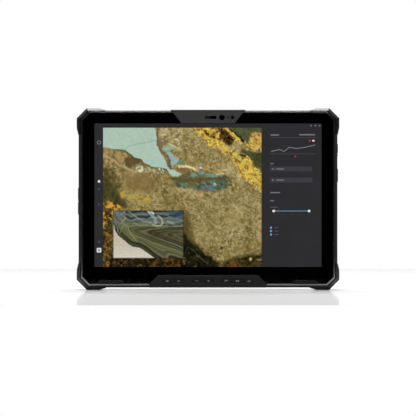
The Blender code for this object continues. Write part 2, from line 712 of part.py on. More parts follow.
def build_batteries():
    for side, label in ((-1, "left"), (1, "right")):
        x = sided(side, BAY_X[0] + GAP, BAY_X[1] - GAP)
        z = (BAY_Z[0] + GAP, BAY_Z[1] - GAP)
        pack = box(f"battery_{label}", x, (BAY_FLOOR_Y[1] + GAP, BATTERY_BACK_Y), z)
        soften(pack, 0.8, 2)
        grip = rounded_rectangle(sided(side, 58.0, 86.0), (68.0, 77.0), 4.0)
        cut(pack, prism(f"cut_pull_{label}", grip, 8.0, 14))
        finish(pack, COVER_PAINT)
        put_origin(pack, (side * 72.0, 6.1, 52.0))
        contacts = box(f"battery_contacts_{label}", sided(side, 60.0, 84.0), (-0.6, 1.5), (30.0, 36.0))
        finish(contacts, GOLD)
        latch = box(f"latch_{label}", sided(side, *LATCH_X), (7.4, 10.9), LATCH_Z)
        for i in range(3):
            rib = side * (69.0 + 3.0 * i)
            cut(latch, box(f"cut_rib_{label}_{i}", around(rib, 0.6), (10.3, 14), (80, 95)))
        join(
            latch,
            box(f"add_latch_base_{label}", sided(side, *LATCH_X), (6.4, 7.7), (83.8, 91.2)),
            box(f"add_tongue_{label}", sided(side, 68.0, 76.0), (6.6, 7.6), (82.1, 84.5)),
        )
        finish(latch, STRIP_PLASTIC)
        put_origin(latch, (side * 72.0, 8.0, 87.5))


def build_rear_camera():
    x, z = REAR_CAMERA
    camera = prism("rear_camera", circle(REAR_CAMERA, 4.1), 1.4, 9.0)
    join(camera, box("add_rear_base", around(x, 4.7), (0.6, 4.0), around(z, 4.7)))
    finish(camera, BLACK_GLASS)
    smooth(camera)
    half_x, half_z = WINDOW_HALF
    window = rounded_rectangle((-half_x, half_x), around(177.0, half_z), 2.7)
    finish(prism("rear_camera_window", window, 9.5, COVER_BACK_Y), BLACK_GLASS)
    flash = prism("flash_lens", circle(FLASH, 1.9, SMALL_ROUND), 6.0, 8.9)
    finish(flash, LIGHT_GUIDE)
    smooth(flash)


def build_screws():
    for index, (x, z) in enumerate(screw_places()):
        screw = prism(f"screw_{index + 1}", circle((x, z), 2.5, 16), *SCREW_HEAD_Y)
        join(screw, prism(f"add_shank_{index}", circle((x, z), 1.2, 10), SCREW_TIP_Y, 9.5))
        cut(screw, prism(f"cut_drive_{index}", circle((x, z), 1.0, 6), 9.4, 14))
        finish(screw, SCREW_STEEL)


def main():
    clear_scene()
    build_front_frame()
    build_case_gasket()
    build_rear_cover()
    for vertical, side_z in (("top", 1), ("bottom", -1)):
        for lateral, side_x in (("left", -1), ("right", 1)):
            build_bumper(f"bumper_{vertical}_{lateral}", side_x, side_z)
    build_touch_glass()
    build_display()
    build_camera_strip()
    build_front_camera()
    build_shutter_slider()
    build_button_strip()
    build_keys()
    build_key_membrane()
    for name, z in LEFT_DOORS.items():
        build_door(name, -1, z)
    build_door("door_right", 1, RIGHT_DOOR)
    build_sockets()
    build_power_button()
    build_docking_connector()
    build_boards()
    build_antennas_and_speakers()
    build_batteries()
    build_rear_camera()
    build_screws()


main()
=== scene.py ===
"""Looks for a rugged field tablet: lights, camera, refined shells, screen picture and small details."""

import json
import math

import bmesh
import bpy
import numpy as np
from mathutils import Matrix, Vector

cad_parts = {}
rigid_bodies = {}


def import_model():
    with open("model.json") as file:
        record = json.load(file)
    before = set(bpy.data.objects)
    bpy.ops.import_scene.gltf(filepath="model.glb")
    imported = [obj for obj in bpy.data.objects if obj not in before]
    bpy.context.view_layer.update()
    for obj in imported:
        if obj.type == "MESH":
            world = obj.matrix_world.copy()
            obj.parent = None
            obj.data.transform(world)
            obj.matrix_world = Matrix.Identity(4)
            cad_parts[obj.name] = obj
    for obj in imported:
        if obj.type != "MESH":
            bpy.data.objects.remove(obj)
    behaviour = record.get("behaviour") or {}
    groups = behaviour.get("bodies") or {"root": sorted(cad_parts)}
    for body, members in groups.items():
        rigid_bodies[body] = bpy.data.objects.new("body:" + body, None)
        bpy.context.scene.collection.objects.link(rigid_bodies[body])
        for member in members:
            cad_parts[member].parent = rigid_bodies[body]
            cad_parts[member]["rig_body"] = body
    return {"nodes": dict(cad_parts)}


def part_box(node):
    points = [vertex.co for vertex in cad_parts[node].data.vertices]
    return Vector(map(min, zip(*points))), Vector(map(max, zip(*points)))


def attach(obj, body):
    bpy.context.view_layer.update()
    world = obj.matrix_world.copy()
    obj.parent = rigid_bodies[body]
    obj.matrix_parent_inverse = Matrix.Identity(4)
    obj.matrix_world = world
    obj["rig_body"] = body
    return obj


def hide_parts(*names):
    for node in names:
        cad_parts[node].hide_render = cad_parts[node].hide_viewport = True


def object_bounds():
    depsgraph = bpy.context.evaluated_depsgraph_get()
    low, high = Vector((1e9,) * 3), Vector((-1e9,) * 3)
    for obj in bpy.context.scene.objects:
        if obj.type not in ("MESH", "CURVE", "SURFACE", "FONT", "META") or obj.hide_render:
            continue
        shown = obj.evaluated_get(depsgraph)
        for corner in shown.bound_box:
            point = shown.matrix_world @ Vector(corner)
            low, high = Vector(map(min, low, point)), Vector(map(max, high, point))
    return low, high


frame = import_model()
CAD_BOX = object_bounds()
MM = 0.001

# ---------------------------------------------------------------- driving sizes, in metres
EYE_HEIGHT = 0.093
EYE_DISTANCE = 2.622
LENS_LENGTH = 200
SENSOR_WIDTH = 36
FLOOR_FRONT = -0.42
FLOOR_BACK = 0.9
FLOOR_SIDE = 0.36
FLOOR_DROP = 0.0002


# ---------------------------------------------------------------- material building blocks
def linear(shades):
    """Linear light of display shades given as 0 to 255."""
    shades = np.clip(np.array(shades) / 255, 0, 1)
    return np.where(shades <= 0.04045, shades / 12.92, ((shades + 0.055) / 1.055) ** 2.4)


class Nodes:
    """A short way to add and link the nodes of one material or world."""

    def __init__(self, name, constants=None, source=bpy.data.materials):
        self.block = source.new(name)
        self.block.use_nodes = True
        self.tree = self.block.node_tree
        self.shader = self.tree.nodes.get("Principled BSDF")
        self.place = self.add("ShaderNodeTexCoord").outputs["Object"]
        for key, value in (constants or {}).items():
            self.shader.inputs[key].default_value = value

    def add(self, kind, inputs=None, **settings):
        """A new node; each input is a constant or another node's output."""
        node = self.tree.nodes.new(kind)
        for key, value in settings.items():
            setattr(node, key, value)
        for key, value in (inputs or {}).items():
            if isinstance(value, bpy.types.NodeSocket):
                self.tree.links.new(value, node.inputs[key])
            else:
                node.inputs[key].default_value = value
        return node

    def link(self, socket, key):
        self.tree.links.new(socket, self.shader.inputs[key])

    def show(self, node):
        """Makes the node's shader the one that is seen."""
        output = next(other for other in self.tree.nodes if "Output" in other.bl_idname)
        self.tree.links.new(node.outputs[0], output.inputs["Surface"])

    def noise(self, scale, detail=3.0, roughness=0.55):
        """Noise from 0 to 1; scale is in features to the metre."""
        inputs = {"Vector": self.place, "Scale": scale, "Detail": detail, "Roughness": roughness}
        return self.add("ShaderNodeTexNoise", inputs).outputs["Fac"]

    def span(self, value, low, high, to_low=0.0, to_high=1.0, steps="LINEAR"):
        """The value with low turned into to_low and high into to_high, and held between them."""
        inputs = {"Value": value, "From Min": low, "From Max": high, "To Min": to_low, "To Max": to_high}
        node = self.add("ShaderNodeMapRange", inputs, clamp=True, interpolation_type=steps)
        return node.outputs["Result"]

    def blend(self, amount, first, second):
        """One colour turning into another as amount goes from 0 to 1."""
        return self.add("ShaderNodeMix", {0: amount, 6: first, 7: second}, data_type="RGBA").outputs[2]

    def bump(self, height, distance, strength, before=None):
        inputs = {"Height": height, "Distance": distance, "Strength": strength}
        if before is not None:
            inputs["Normal"] = before
        return self.add("ShaderNodeBump", inputs).outputs["Normal"]


PATCHES, WEAR = 18.0, 0.35
SCREEN = {"Base Color": (0.002, 0.002, 0.002, 1), "Specular IOR Level": 0.0, "Roughness": 0.6,
          "Emission Strength": 1.0}


def finish(name, colour, worn, roughness, spread, grain, depth, level=0.5, metallic=0.0):
    """The nodes of a moulded, painted or metal surface: cloudy colour, fine grain bump and uneven gloss.

    grain is the number of bumps to the metre and depth their height; spread is how far the
    roughness wanders; worn is the colour of rubbed and dusty patches.
    """
    nodes = Nodes(name, {"Metallic": metallic, "Specular IOR Level": level})
    rubbed = nodes.span(nodes.noise(PATCHES, 4.0, 0.6), 0.45, 0.75, 0.0, WEAR)
    fine = nodes.noise(grain, 2.0, 0.5)
    mottle = nodes.noise(grain * 0.22, 3.0, 0.65)
    base = nodes.blend(rubbed, (*colour, 1), (*worn, 1))
    lift = [min(1.0, 1.8 * channel + 0.001) for channel in colour]
    nodes.link(nodes.blend(nodes.span(fine, 0.3, 0.75, 0.0, 0.22), base, (*lift, 1)), "Base Color")
    nodes.link(nodes.span(mottle, 0.3, 0.7, roughness - spread, roughness + spread), "Roughness")
    nodes.link(nodes.bump(mottle, depth * 1.4, 0.5, nodes.bump(fine, depth, 0.9)), "Normal")
    return nodes


def frame_paint():
    """The front frame's black lacquer: polished on the bevels, matt on the flats that face the user."""
    nodes = finish("frame_paint", (0.006, 0.006, 0.0065), (0.012, 0.012, 0.013), 0.17, 0.03, 2600, 0.000008)
    facing = nodes.add("ShaderNodeNewGeometry").outputs["True Normal"]
    parts = nodes.add("ShaderNodeSeparateXYZ", {0: facing})
    tilted = nodes.span(parts.outputs["Y"], -0.985, -0.93)
    outer = nodes.span(parts.outputs["Y"], -0.8, -0.65)
    inner_lip = nodes.add("ShaderNodeMath", {0: tilted, 1: outer}, operation="SUBTRACT").outputs[0]
    nodes.link(inner_lip, "Coat Weight")
    nodes.link(nodes.span(tilted, 0, 1, 0.25, 0.7), "Specular IOR Level")
    nodes.shader.inputs["Coat IOR"].default_value = 3.4
    nodes.shader.inputs["Coat Roughness"].default_value = 0.12
    return nodes.block


def cover_glass():
    """Clear cover glass with an anti-reflective coat and faint finger smears."""
    clear = {"Base Color": (0.98, 0.985, 0.99, 1), "Transmission Weight": 1.0, "IOR": 1.1}
    nodes = Nodes("cover_glass", clear)
    nodes.link(nodes.span(nodes.noise(14.0, 5.0, 0.7), 0.55, 0.8, 0.0, 0.02), "Roughness")
    return nodes.block


def black_ink():
    """Opaque black ink: nearly no light comes back, and the film shows a faint grain."""
    nodes = Nodes("black_ink", {"Specular IOR Level": 0.0})
    grain = nodes.span(nodes.noise(700.0, 2.0), 0.3, 0.7)
    nodes.link(nodes.blend(grain, (0.0003, 0.0003, 0.0003, 1), (0.0008, 0.0008, 0.0009, 1)), "Base Color")
    nodes.link(nodes.span(nodes.noise(90.0), 0.3, 0.7, 0.5, 0.7), "Roughness")
    return nodes.block


def glow(name, tint):
    """A lit part of the display: an even tint with the faint cloudiness of a backlight."""
    nodes = Nodes(name, SCREEN)
    colour = linear(tint)
    patches = nodes.span(nodes.noise(30.0), 0.3, 0.7)
    nodes.link(nodes.blend(patches, (*(0.9 * colour), 1), (*colour, 1)), "Emission Color")
    return nodes.block


def picture_light(name):
    """A lit picture: the sheet's painted colours with the fine speckle of a screen."""
    nodes = Nodes(name, SCREEN)
    paint = nodes.add("ShaderNodeAttribute", attribute_name="paint").outputs["Color"]
    speck = nodes.span(nodes.noise(1500.0, 2.0), 0.3, 0.7, 0.82, 1.12)
    scaled = nodes.add("ShaderNodeVectorMath", {0: paint, 1: speck}, operation="MULTIPLY").outputs[0]
    nodes.link(scaled, "Emission Color")
    return nodes.block


# Each row: colour, worn colour, roughness, its spread, grains to the metre and their height in metres, then,
# where they differ from the usual, the level of the gloss and how metallic it is.
FINISHES = {
    "cover_paint": ((0.016, 0.016, 0.017), (0.035, 0.035, 0.036), 0.48, 0.06, 1900, 0.00005),
    "bumper_rubber": ((0.007, 0.007, 0.007), (0.014, 0.0135, 0.013), 0.34, 0.05, 1500, 0.000014, 0.9),
    "strip_plastic": ((0.0042, 0.0041, 0.0041), (0.007, 0.0068, 0.0068), 0.42, 0.05, 2400, 0.00002, 0.36),
    # The camera strip: the strips' own plastic painted lighter, a painted highlight for the light its face
    # catches from above.
    "strip_plastic_painted_lit": ((0.044, 0.0432, 0.0432), (0.06, 0.059, 0.059), 0.45, 0.05, 2400, 0.00003),
    "key_plastic": ((0.003, 0.003, 0.0033), (0.008, 0.008, 0.008), 0.4, 0.05, 3000, 0.00002, 0.3),
    "door_rubber": ((0.014, 0.014, 0.015), (0.04, 0.04, 0.04), 0.55, 0.06, 1700, 0.00004),
    "sheet_metal": ((0.5, 0.5, 0.52), (0.3, 0.3, 0.31), 0.3, 0.08, 2200, 0.00001, 0.5, 1.0),
    "circuit_board": ((0.012, 0.06, 0.03), (0.02, 0.09, 0.045), 0.42, 0.06, 1400, 0.00003),
    "copper": ((0.72, 0.36, 0.22), (0.45, 0.2, 0.12), 0.32, 0.08, 1800, 0.00001, 0.5, 1.0),
    "gold_contacts": ((0.86, 0.6, 0.24), (0.55, 0.38, 0.16), 0.26, 0.06, 2200, 0.00001, 0.5, 1.0),
    "seal_rubber": ((0.012, 0.012, 0.012), (0.03, 0.03, 0.03), 0.62, 0.06, 1500, 0.00004),
    "light_guide": ((0.02, 0.021, 0.024), (0.05, 0.05, 0.055), 0.22, 0.05, 1500, 0.00001),
    "screw_steel": ((0.11, 0.11, 0.115), (0.3, 0.3, 0.3), 0.34, 0.08, 2400, 0.00001, 0.5, 1.0),
    "pale_plastic": ((0.6, 0.6, 0.58), (0.5, 0.5, 0.48), 0.45, 0.05, 1500, 0.00002),
    "battery_shell": ((0.014, 0.014, 0.015), (0.035, 0.035, 0.035), 0.44, 0.06, 1600, 0.00005),
    "dark_lens": ((0.004, 0.004, 0.005), (0.008, 0.008, 0.01), 0.1, 0.03, 900, 0.000002),
    "display": ((0.003, 0.003, 0.003), (0.004, 0.004, 0.004), 0.6, 0.05, 900, 0.00001, 0.0),
    "print_grey": ((0.4, 0.4, 0.41), (0.3, 0.3, 0.31), 0.5, 0.05, 2600, 0.00001),
    "key_print": ((0.2, 0.2, 0.205), (0.15, 0.15, 0.15), 0.5, 0.05, 2600, 0.00001),
    "label_grey": ((0.055, 0.055, 0.058), (0.08, 0.08, 0.082), 0.4, 0.06, 1300, 0.00002),
    "charge_green": ((0.05, 0.16, 0.07), (0.08, 0.22, 0.1), 0.3, 0.05, 1500, 0.00001),
    "gap_black": ((0.003, 0.003, 0.003), (0.006, 0.006, 0.006), 0.6, 0.05, 1800, 0.00002, 0.2),
}
GLOWS = {"icon_white": (225, 228, 232), "icon_grey": (120, 120, 126), "icon_faint": (84, 84, 90),
         "icon_blue": (98, 168, 210), "icon_red": (190, 62, 56), "slider_blue": (92, 124, 146),
         "chart_tint": (150, 152, 158), "panel_box": (62, 62, 67), "panel_grey": (47, 46, 49)}
MATERIALS = {"frame_paint": frame_paint(), "cover_glass": cover_glass(), "black_ink": black_ink()}
MATERIALS.update((name, finish(name, *row).block) for name, row in FINISHES.items())
MATERIALS.update((name, glow(name, tint)) for name, tint in GLOWS.items())


# ---------------------------------------------------------------- pieces
EDGE_STEPS, EDGE_ANGLE = 2, 25


def shown(mesh_or_bmesh, name, slot, body="case", replaced=(), paint=None):
    """A finished piece from a mesh, riding on a body and painted as its slot, or as another paint."""
    if isinstance(mesh_or_bmesh, bmesh.types.BMesh):
        mesh = bpy.data.meshes.new(name)
        mesh_or_bmesh.to_mesh(mesh)
        mesh_or_bmesh.free()
    else:
        mesh = mesh_or_bmesh
    piece = bpy.data.objects.new(name, mesh)
    bpy.context.scene.collection.objects.link(piece)
    mesh.materials.clear()
    mesh.materials.append(MATERIALS[paint or slot])
    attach(piece, body)
    if replaced:
        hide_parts(*replaced)
    return piece


def slot_of(node):
    return node.data.materials[0].name.split(".")[0]


def merged_copy(node):
    """The CAD node's mesh with its slivers merged and its flat faces whole again."""
    bm = bmesh.new()
    bm.from_mesh(node.data)
    bmesh.ops.remove_doubles(bm, verts=bm.verts, dist=0.05 * MM)
    bmesh.ops.dissolve_limit(bm, angle_limit=math.radians(0.6), verts=bm.verts, edges=bm.edges)
    bmesh.ops.triangulate(bm, faces=[face for face in bm.faces if len(face.verts) > 4])
    return bm


def refine(name, width, paint=None):
    """The CAD node with rounded edges, in its own slot and on its own body."""
    node = frame["nodes"][name]
    piece = shown(merged_copy(node), name + "_fine", slot_of(node), node["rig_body"], [name], paint)
    piece.data.shade_smooth()
    bevel = piece.modifiers.new("edges", "BEVEL")
    bevel.width = width
    bevel.segments = EDGE_STEPS
    bevel.limit_method = "ANGLE"
    bevel.angle_limit = math.radians(EDGE_ANGLE)
    bevel.use_clamp_overlap = False
    even = piece.modifiers.new("even_normals", "WEIGHTED_NORMAL")
    even.keep_sharp = True
    even.weight = 80


REFINED = [
    (("front_frame",), 0.08),
    (("rear_cover",), 0.15),
    (("bumper_top_left", "bumper_top_right", "bumper_bottom_left", "bumper_bottom_right"), 0.18),
    (("camera_strip", "button_strip"), 0.12),
    (tuple(f"key_{number}" for number in range(1, 8)), 0.12),
    (("door_left_upper", "door_left_lower", "door_right"), 0.04),
    (("latch_left", "latch_right", "power_button", "battery_left", "battery_right"), 0.2),
    (tuple(f"screw_{number}" for number in range(1, 9)), 0.12),
]
for names, width in REFINED:
    for name in names:
        # The camera strip gets the lighter copy of the strip plastic: painted light, not a paler plastic.
        refine(name, width * MM, "strip_plastic_painted_lit" if name == "camera_strip" else None)

for node in frame["nodes"].values():
    if not node.hide_render:
        node.data.materials[0] = MATERIALS[slot_of(node)]
        node.data.shade_smooth()
        node.data.set_sharp_from_angle(angle=math.radians(30))


# ---------------------------------------------------------------- flat outlines
def rectangle(left, right, low, high):
    return [(left, low), (right, low), (right, high), (left, high)]


def disc(a, b, radius, sides=20):
    return [(a + radius * math.cos(math.tau * i / sides), b + radius * math.sin(math.tau * i / sides))
            for i in range(sides)]


def rounded(left, right, low, high, corner, steps=4):
    """A rectangle with round corners."""
    points = []
    for a, b, start in ((right - corner, high - corner, 0), (left + corner, high - corner, 90),
                        (left + corner, low + corner, 180), (right - corner, low + corner, 270)):
        for step in range(steps + 1):
            turn = math.radians(start + 90 * step / steps)
            points.append((a + corner * math.cos(turn), b + corner * math.sin(turn)))
    return points


def oblong(left, right, middle, height):
    """A bar with round ends."""
    return rounded(left, right, middle - height / 2, middle + height / 2, min(height, right - left) / 2)


def stroke(points, width):
    """A bent line of even width as one outline."""
    left, right = [], []
    for i, point in enumerate(points):
        before, after = Vector(points[max(i - 1, 0)]), Vector(points[min(i + 1, len(points) - 1)])
        side = (after - before).normalized().orthogonal() * width / 2
        left.append(tuple(Vector(point) + side))
        right.append(tuple(Vector(point) - side))
    return left + right[::-1]


# ---------------------------------------------------------------- painting on a fine grid
def value_noise(u, v, size, seed):
    """Smooth noise from 0 to 1 with cells of the given size."""
    table = np.random.default_rng(seed).random((64, 64))
    x, y = u / size, v / size
    column, row = np.floor(x).astype(int), np.floor(y).astype(int)
    across, down = x - column, y - row
    across, down = across * across * (3 - 2 * across), down * down * (3 - 2 * down)

    def at(right, below):
        return table[(column + right) % 64, (row + below) % 64]

    top = at(0, 0) * (1 - across) + at(1, 0) * across
    low = at(0, 1) * (1 - across) + at(1, 1) * across
    return top * (1 - down) + low * down


def cloud(u, v, size, seed, octaves=4, fall=0.6):
    """Layered noise from 0 to 1; the largest lumps have the given size."""
    total, weight = 0, 0
    for octave in range(octaves):
        share = fall ** octave
        shifted = u + 37.7 * octave, v - 19.3 * octave
        total = total + share * value_noise(*shifted, size / 2 ** octave, seed + octave)
        weight += share
    return total / weight


def ramp(value, low, high):
    """0 below low, 1 above high, smooth between."""
    t = np.clip((value - low) / (high - low), 0, 1)
    return t * t * (3 - 2 * t)


class Canvas:
    """A picture painted over in soft layers on a fine grid.

    Places are millimetres across and down from its top left corner, and u and v hold them for each grid
    point; wu and wv are the same places shifted a little, which makes painted edges ragged. Colours are
    display shades from 0 to 255.
    """

    def __init__(self, width, height, pitch, seed, ragged):
        self.seed = seed
        columns, rows = round(width / pitch) + 1, round(height / pitch) + 1
        self.u, self.v = np.meshgrid(np.linspace(0, width, columns), np.linspace(0, height, rows))
        drift = [cloud(self.u, self.v, 9, seed + shift) - 0.5 for shift in (1, 11)]
        shiver = [cloud(self.u, self.v, 2.2, seed + shift, 2) - 0.5 for shift in (21, 31)]
        self.wu = self.u + ragged * (3 * drift[0] + 2.2 * shiver[0])
        self.wv = self.v + ragged * (3 * drift[1] + 2.2 * shiver[1])
        self.fine = cloud(self.u, self.v, 1.9, seed + 41, 2)
        self.mid = cloud(self.u, self.v, 5.5, seed + 51, 3)
        self.colour = np.zeros(self.u.shape + (3,))

    def lay(self, mask, first, second=None, grain=0.5, contrast=3.0):
        """Two tones over the masked part, mottled by medium and fine noise."""
        second = first if second is None else second
        speckle = grain * self.fine + (1 - grain) * self.mid
        mix = np.clip(0.5 + contrast * (speckle - 0.5), 0, 1)[..., None]
        tone = np.array(first) * (1 - mix) + np.array(second) * mix
        mask = np.clip(mask, 0, 1)[..., None]
        self.colour = self.colour * (1 - mask) + tone * mask

    def distance(self, points):
        """How far each grid point is from a line through the points."""
        u, v = self.wu, self.wv
        nearest = np.full(u.shape, 1e9)
        for (u0, v0), (u1, v1) in zip(points, points[1:]):
            du, dv = u1 - u0, v1 - v0
            along = np.clip(((u - u0) * du + (v - v0) * dv) / (du * du + dv * dv), 0, 1)
            nearest = np.minimum(nearest, np.hypot(u - u0 - along * du, v - v0 - along * dv))
        return nearest

    def depth(self, points):
        """How far each grid point is inside a closed outline, negative outside it."""
        inside = np.zeros(self.u.shape, bool)
        for (u0, v0), (u1, v1) in zip(points, points[1:] + points[:1]):
            crosses = (v0 > self.wv) != (v1 > self.wv)
            with np.errstate(divide="ignore", invalid="ignore"):
                at = u0 + (self.wv - v0) * (u1 - u0) / (v1 - v0)
            inside ^= crosses & (self.wu < at)
        gap = self.distance(points + points[:1])
        return np.where(inside, gap, -gap)

    def area(self, points, first, second=None, soft=1.0, amount=1.0, torn=0.0, **style):
        """A closed outline; its edge fades over soft millimetres and wanders by torn millimetres."""
        signed = self.depth(points) + torn * (2 * self.fine + 2 * self.mid - 2)
        self.lay(amount * ramp(signed, -soft / 2, soft / 2), first, second, **style)

    def line(self, points, width, first, second=None, soft=0.8, amount=1.0, **style):
        """A line of the given width."""
        gap = self.distance(points)
        self.lay(amount * (1 - ramp(gap, (width - soft) / 2, (width + soft) / 2)), first, second, **style)

    def spot(self, u, v, radius, first, second=None, **style):
        """A round dab."""
        self.line([(u, v), (u + 0.01, v)], 2 * radius, first, second, **style)

    def flecks(self, points, size, share, first, second=None, seed=0, soft=6.0, amount=1.0):
        """Ragged spots that cover a share of a closed outline."""
        field = cloud(self.wu, self.wv, size, self.seed + 60 + seed, 3)
        limit = np.quantile(field, 1 - share)
        spots = ramp(field, limit - 0.04, limit + 0.04)
        self.lay(amount * spots * ramp(self.depth(points), -soft / 2, soft / 2), first, second)

    def veins(self, points, size, thickness, first, second=None, seed=0, soft=6.0, amount=1.0):
        """A net of thin wandering lines inside a closed outline."""
        field = np.abs(2 * cloud(self.wu, self.wv, size, self.seed + 160 + seed, 2, 0.5) - 1)
        net = 1 - ramp(field, 0.3 * thickness, thickness)
        self.lay(amount * net * ramp(self.depth(points), -soft / 2, soft / 2), first, second)


def paint_land(art, whole):
    """Olive and tan steppe: lighter in the upper middle, darker low down, with a fine net of tracks."""
    art.area(whole, (132, 115, 66), (166, 149, 98), grain=0.6, contrast=2.6)
    upper = ramp(90 - art.v, 0, 60) * ramp(art.u, 30, 90)
    art.lay(0.5 * upper, (166, 148, 92), (188, 170, 120))
    lower = ramp(art.v, 90, 130)
    art.lay(0.45 * lower, (116, 101, 56), (142, 128, 78))
    art.lay(0.4 * ramp(cloud(art.u, art.v, 34, 7), 0.48, 0.62), (118, 101, 54), (146, 126, 76))
    art.lay(0.5 * ramp(cloud(art.wu, art.wv, 15, 27), 0.5, 0.66), (112, 96, 46), (136, 116, 62))
    art.lay(0.4 * ramp(cloud(art.wu, art.wv, 12, 37), 0.54, 0.68), (176, 160, 108), (190, 172, 120))
    art.veins(whole, 6.0, 0.10, (206, 190, 140), (186, 168, 118), 1, amount=0.6)
    art.veins(whole, 4.0, 0.12, (80, 68, 30), (100, 86, 44), 2, amount=0.55)
    art.flecks(whole, 2.4, 0.12, (212, 197, 150), (192, 174, 122), 3, amount=0.55)
    art.flecks(whole, 2.2, 0.14, (78, 68, 30), (96, 84, 42), 4, amount=0.55)
    slopes = (-0.75, 0.2, -1.3, 0.5)
    for track in range(26):
        u, v = 62 + 4.7 * ((7 * track) % 25), 46 + 3.9 * ((11 * track) % 23)
        run = 5 + 3 * (track % 4)
        ends = [(u, v), (u + run, v + slopes[track % 4] * run)]
        art.line(ends, 0.9, (204, 188, 138), (188, 170, 118), soft=1.0, amount=0.55)


def paint_west(art):
    """The western shore: reddish fields, a dark headland, a white village and shaded gullies."""
    art.area([(0, 21), (13, 25), (25, 27), (30, 34), (24, 42), (8, 36), (0, 33)], (172, 142, 96),
             (150, 130, 76), soft=4, torn=1.5)
    art.flecks(rectangle(-2, 28, 22, 44), 3.4, 0.3, (116, 104, 52), (98, 88, 44), 5)
    art.veins(rectangle(-2, 30, 22, 44), 4, 0.12, (206, 178, 132), seed=3, amount=0.6)
    art.area([(24, 52), (52, 52), (62, 60), (52, 74), (28, 72)], (142, 118, 70), (118, 98, 54), soft=9,
             amount=0.75, torn=2)
    art.area([(24.4, 35), (30, 32.2), (41.5, 34.3), (45, 36.4), (40, 40.7), (35.8, 43.5), (30, 46.3),
              (25.9, 43.5)], (106, 86, 52), (88, 74, 44), soft=1.6, torn=0.8)
    art.line([(0, 32.2), (7.4, 34.3), (17.3, 40.7), (27.3, 47), (37.2, 50.6)], 2.2, (202, 186, 140),
             (180, 162, 112), soft=2.4, amount=0.75)
    village = [(37.2, 43.5), (42.9, 41.8), (45.7, 44.9), (50.3, 46.3), (49.3, 50.6), (41.5, 50.3),
               (36.5, 48.5)]
    art.area(village, (232, 225, 192), (208, 198, 152), soft=1.4, torn=0.8)
    art.flecks(village, 1.8, 0.3, (116, 106, 76), seed=6, soft=2)
    art.area([(51, 47), (60, 46.5), (60, 51), (51, 51)], (150, 138, 92), (178, 164, 118), soft=2, torn=1)
    shade = [(-3, 54), (6, 56), (12, 64), (22, 79), (28, 90), (14, 92), (-3, 80)]
    art.area(shade, (44, 44, 22), (76, 72, 36), soft=8, torn=2, amount=0.9)
    art.flecks([(-2, 44), (10, 46), (18, 58), (22, 74), (6, 66), (-2, 60)], 4, 0.5, (78, 68, 32),
               (92, 82, 40), 7)
    art.flecks([(20, 72), (36, 72), (54, 75), (54, 84), (38, 84), (20, 79)], 3, 0.5, (196, 166, 72),
               (182, 156, 66), 8, amount=0.85)


def paint_bay(art):
    """The sage bay with its smooth water, brown shores and the lagoons behind the spit."""
    bay = [(-3, -3), (55, -3), (61, 2.5), (61.6, 12), (62.3, 21), (65, 28.5), (70, 35.7), (73.4, 43.5),
           (75.5, 47.1), (84, 47.8), (89.7, 51.3), (96.8, 57.7), (86.9, 56.5), (79.8, 55.6), (74.8, 52),
           (72.7, 46.6), (62.8, 44.9), (55.7, 44.2), (46, 39.3), (44, 35.3), (35.8, 33.4), (30, 28.6),
           (24.4, 25.1), (13, 24.4), (-3, 21)]
    art.line(bay[14:24], 3.2, (94, 80, 46), (78, 76, 42), soft=3, amount=0.8)
    warp = (art.wu, art.wv)
    art.wu, art.wv = art.u + 0.35 * (art.wu - art.u), art.v + 0.35 * (art.wv - art.v)
    art.area(bay, (172, 197, 177), (178, 200, 182), soft=0.8, grain=0.1)
    shore = ramp(cloud(art.u, art.v, 30, 17), 0.45, 0.75) * ramp(14 - art.distance(bay[4:18]), 0, 12)
    art.lay(0.45 * shore * (art.depth(bay) > 0), (158, 196, 192))
    art.line([(58, 4), (59.5, 20), (63, 31), (69, 40)], 2, (186, 208, 198), soft=4, amount=0.4)
    art.line([(0, 0), (1.2, 18)], 3, (186, 190, 200), soft=4, amount=0.7)
    art.line([(24, 25), (29, 20.5), (45, 17), (60.5, 14.2)], 0.7, (128, 164, 142), soft=0.9)
    art.wu, art.wv = warp
    art.area([(62, 46.3), (68.4, 46.6), (69, 51), (62.5, 51.3)], (112, 126, 100), (86, 92, 62), soft=1,
             torn=0.8)
    art.flecks([(50, 46), (69, 46), (69, 52), (50, 52)], 1.8, 0.16, (222, 216, 186), seed=9, soft=1)
    art.line([(61.6, -2), (62.8, 19.4), (67, 27.9), (73.4, 33.6), (75.8, 40.7), (77, 46)], 2.8,
             (106, 86, 58), (124, 102, 70), soft=1)
    art.area([(63, 12), (72, 14), (77, 20), (68, 19), (66, 26), (63.5, 22)], (118, 98, 66),
             (134, 112, 76), soft=2, torn=1.5)
    ponds = [([(67.4, 22.9), (72.7, 20.4), (80.5, 21.5), (79.8, 24.4), (72.7, 26.5), (68.4, 25.8)],
              (140, 190, 160), (128, 178, 148)),
             ([(72, 27.2), (78.4, 28.6), (81.9, 32.9), (86.2, 36.4), (84.7, 39.3), (79.8, 42.1), (77.7, 45.6),
               (76.9, 40.7), (74.8, 32.9)], (140, 172, 162), (158, 178, 184)),
             ([(84, 39.3), (89.7, 37.1), (93.3, 40), (87.6, 41.4)], (96, 146, 112), (84, 124, 92)),
             ([(66, 13.6), (68.2, 13.4), (68.4, 15.4), (66.2, 15.4)], (132, 176, 146), (120, 150, 118))]
    for outline, first, second in ponds:
        art.area(outline, first, second, soft=1.2, torn=0.5)
    art.line([(73, 18), (81, 21), (86, 24)], 0.9, (226, 212, 170), soft=1)
    art.flecks([(66, -2), (92, -2), (92, 20), (74, 18), (66, 14)], 2.2, 0.2, (196, 178, 140),
               (214, 196, 160), 10)
    art.line([(82, 31), (86, 37)], 1, (186, 160, 112), soft=1)


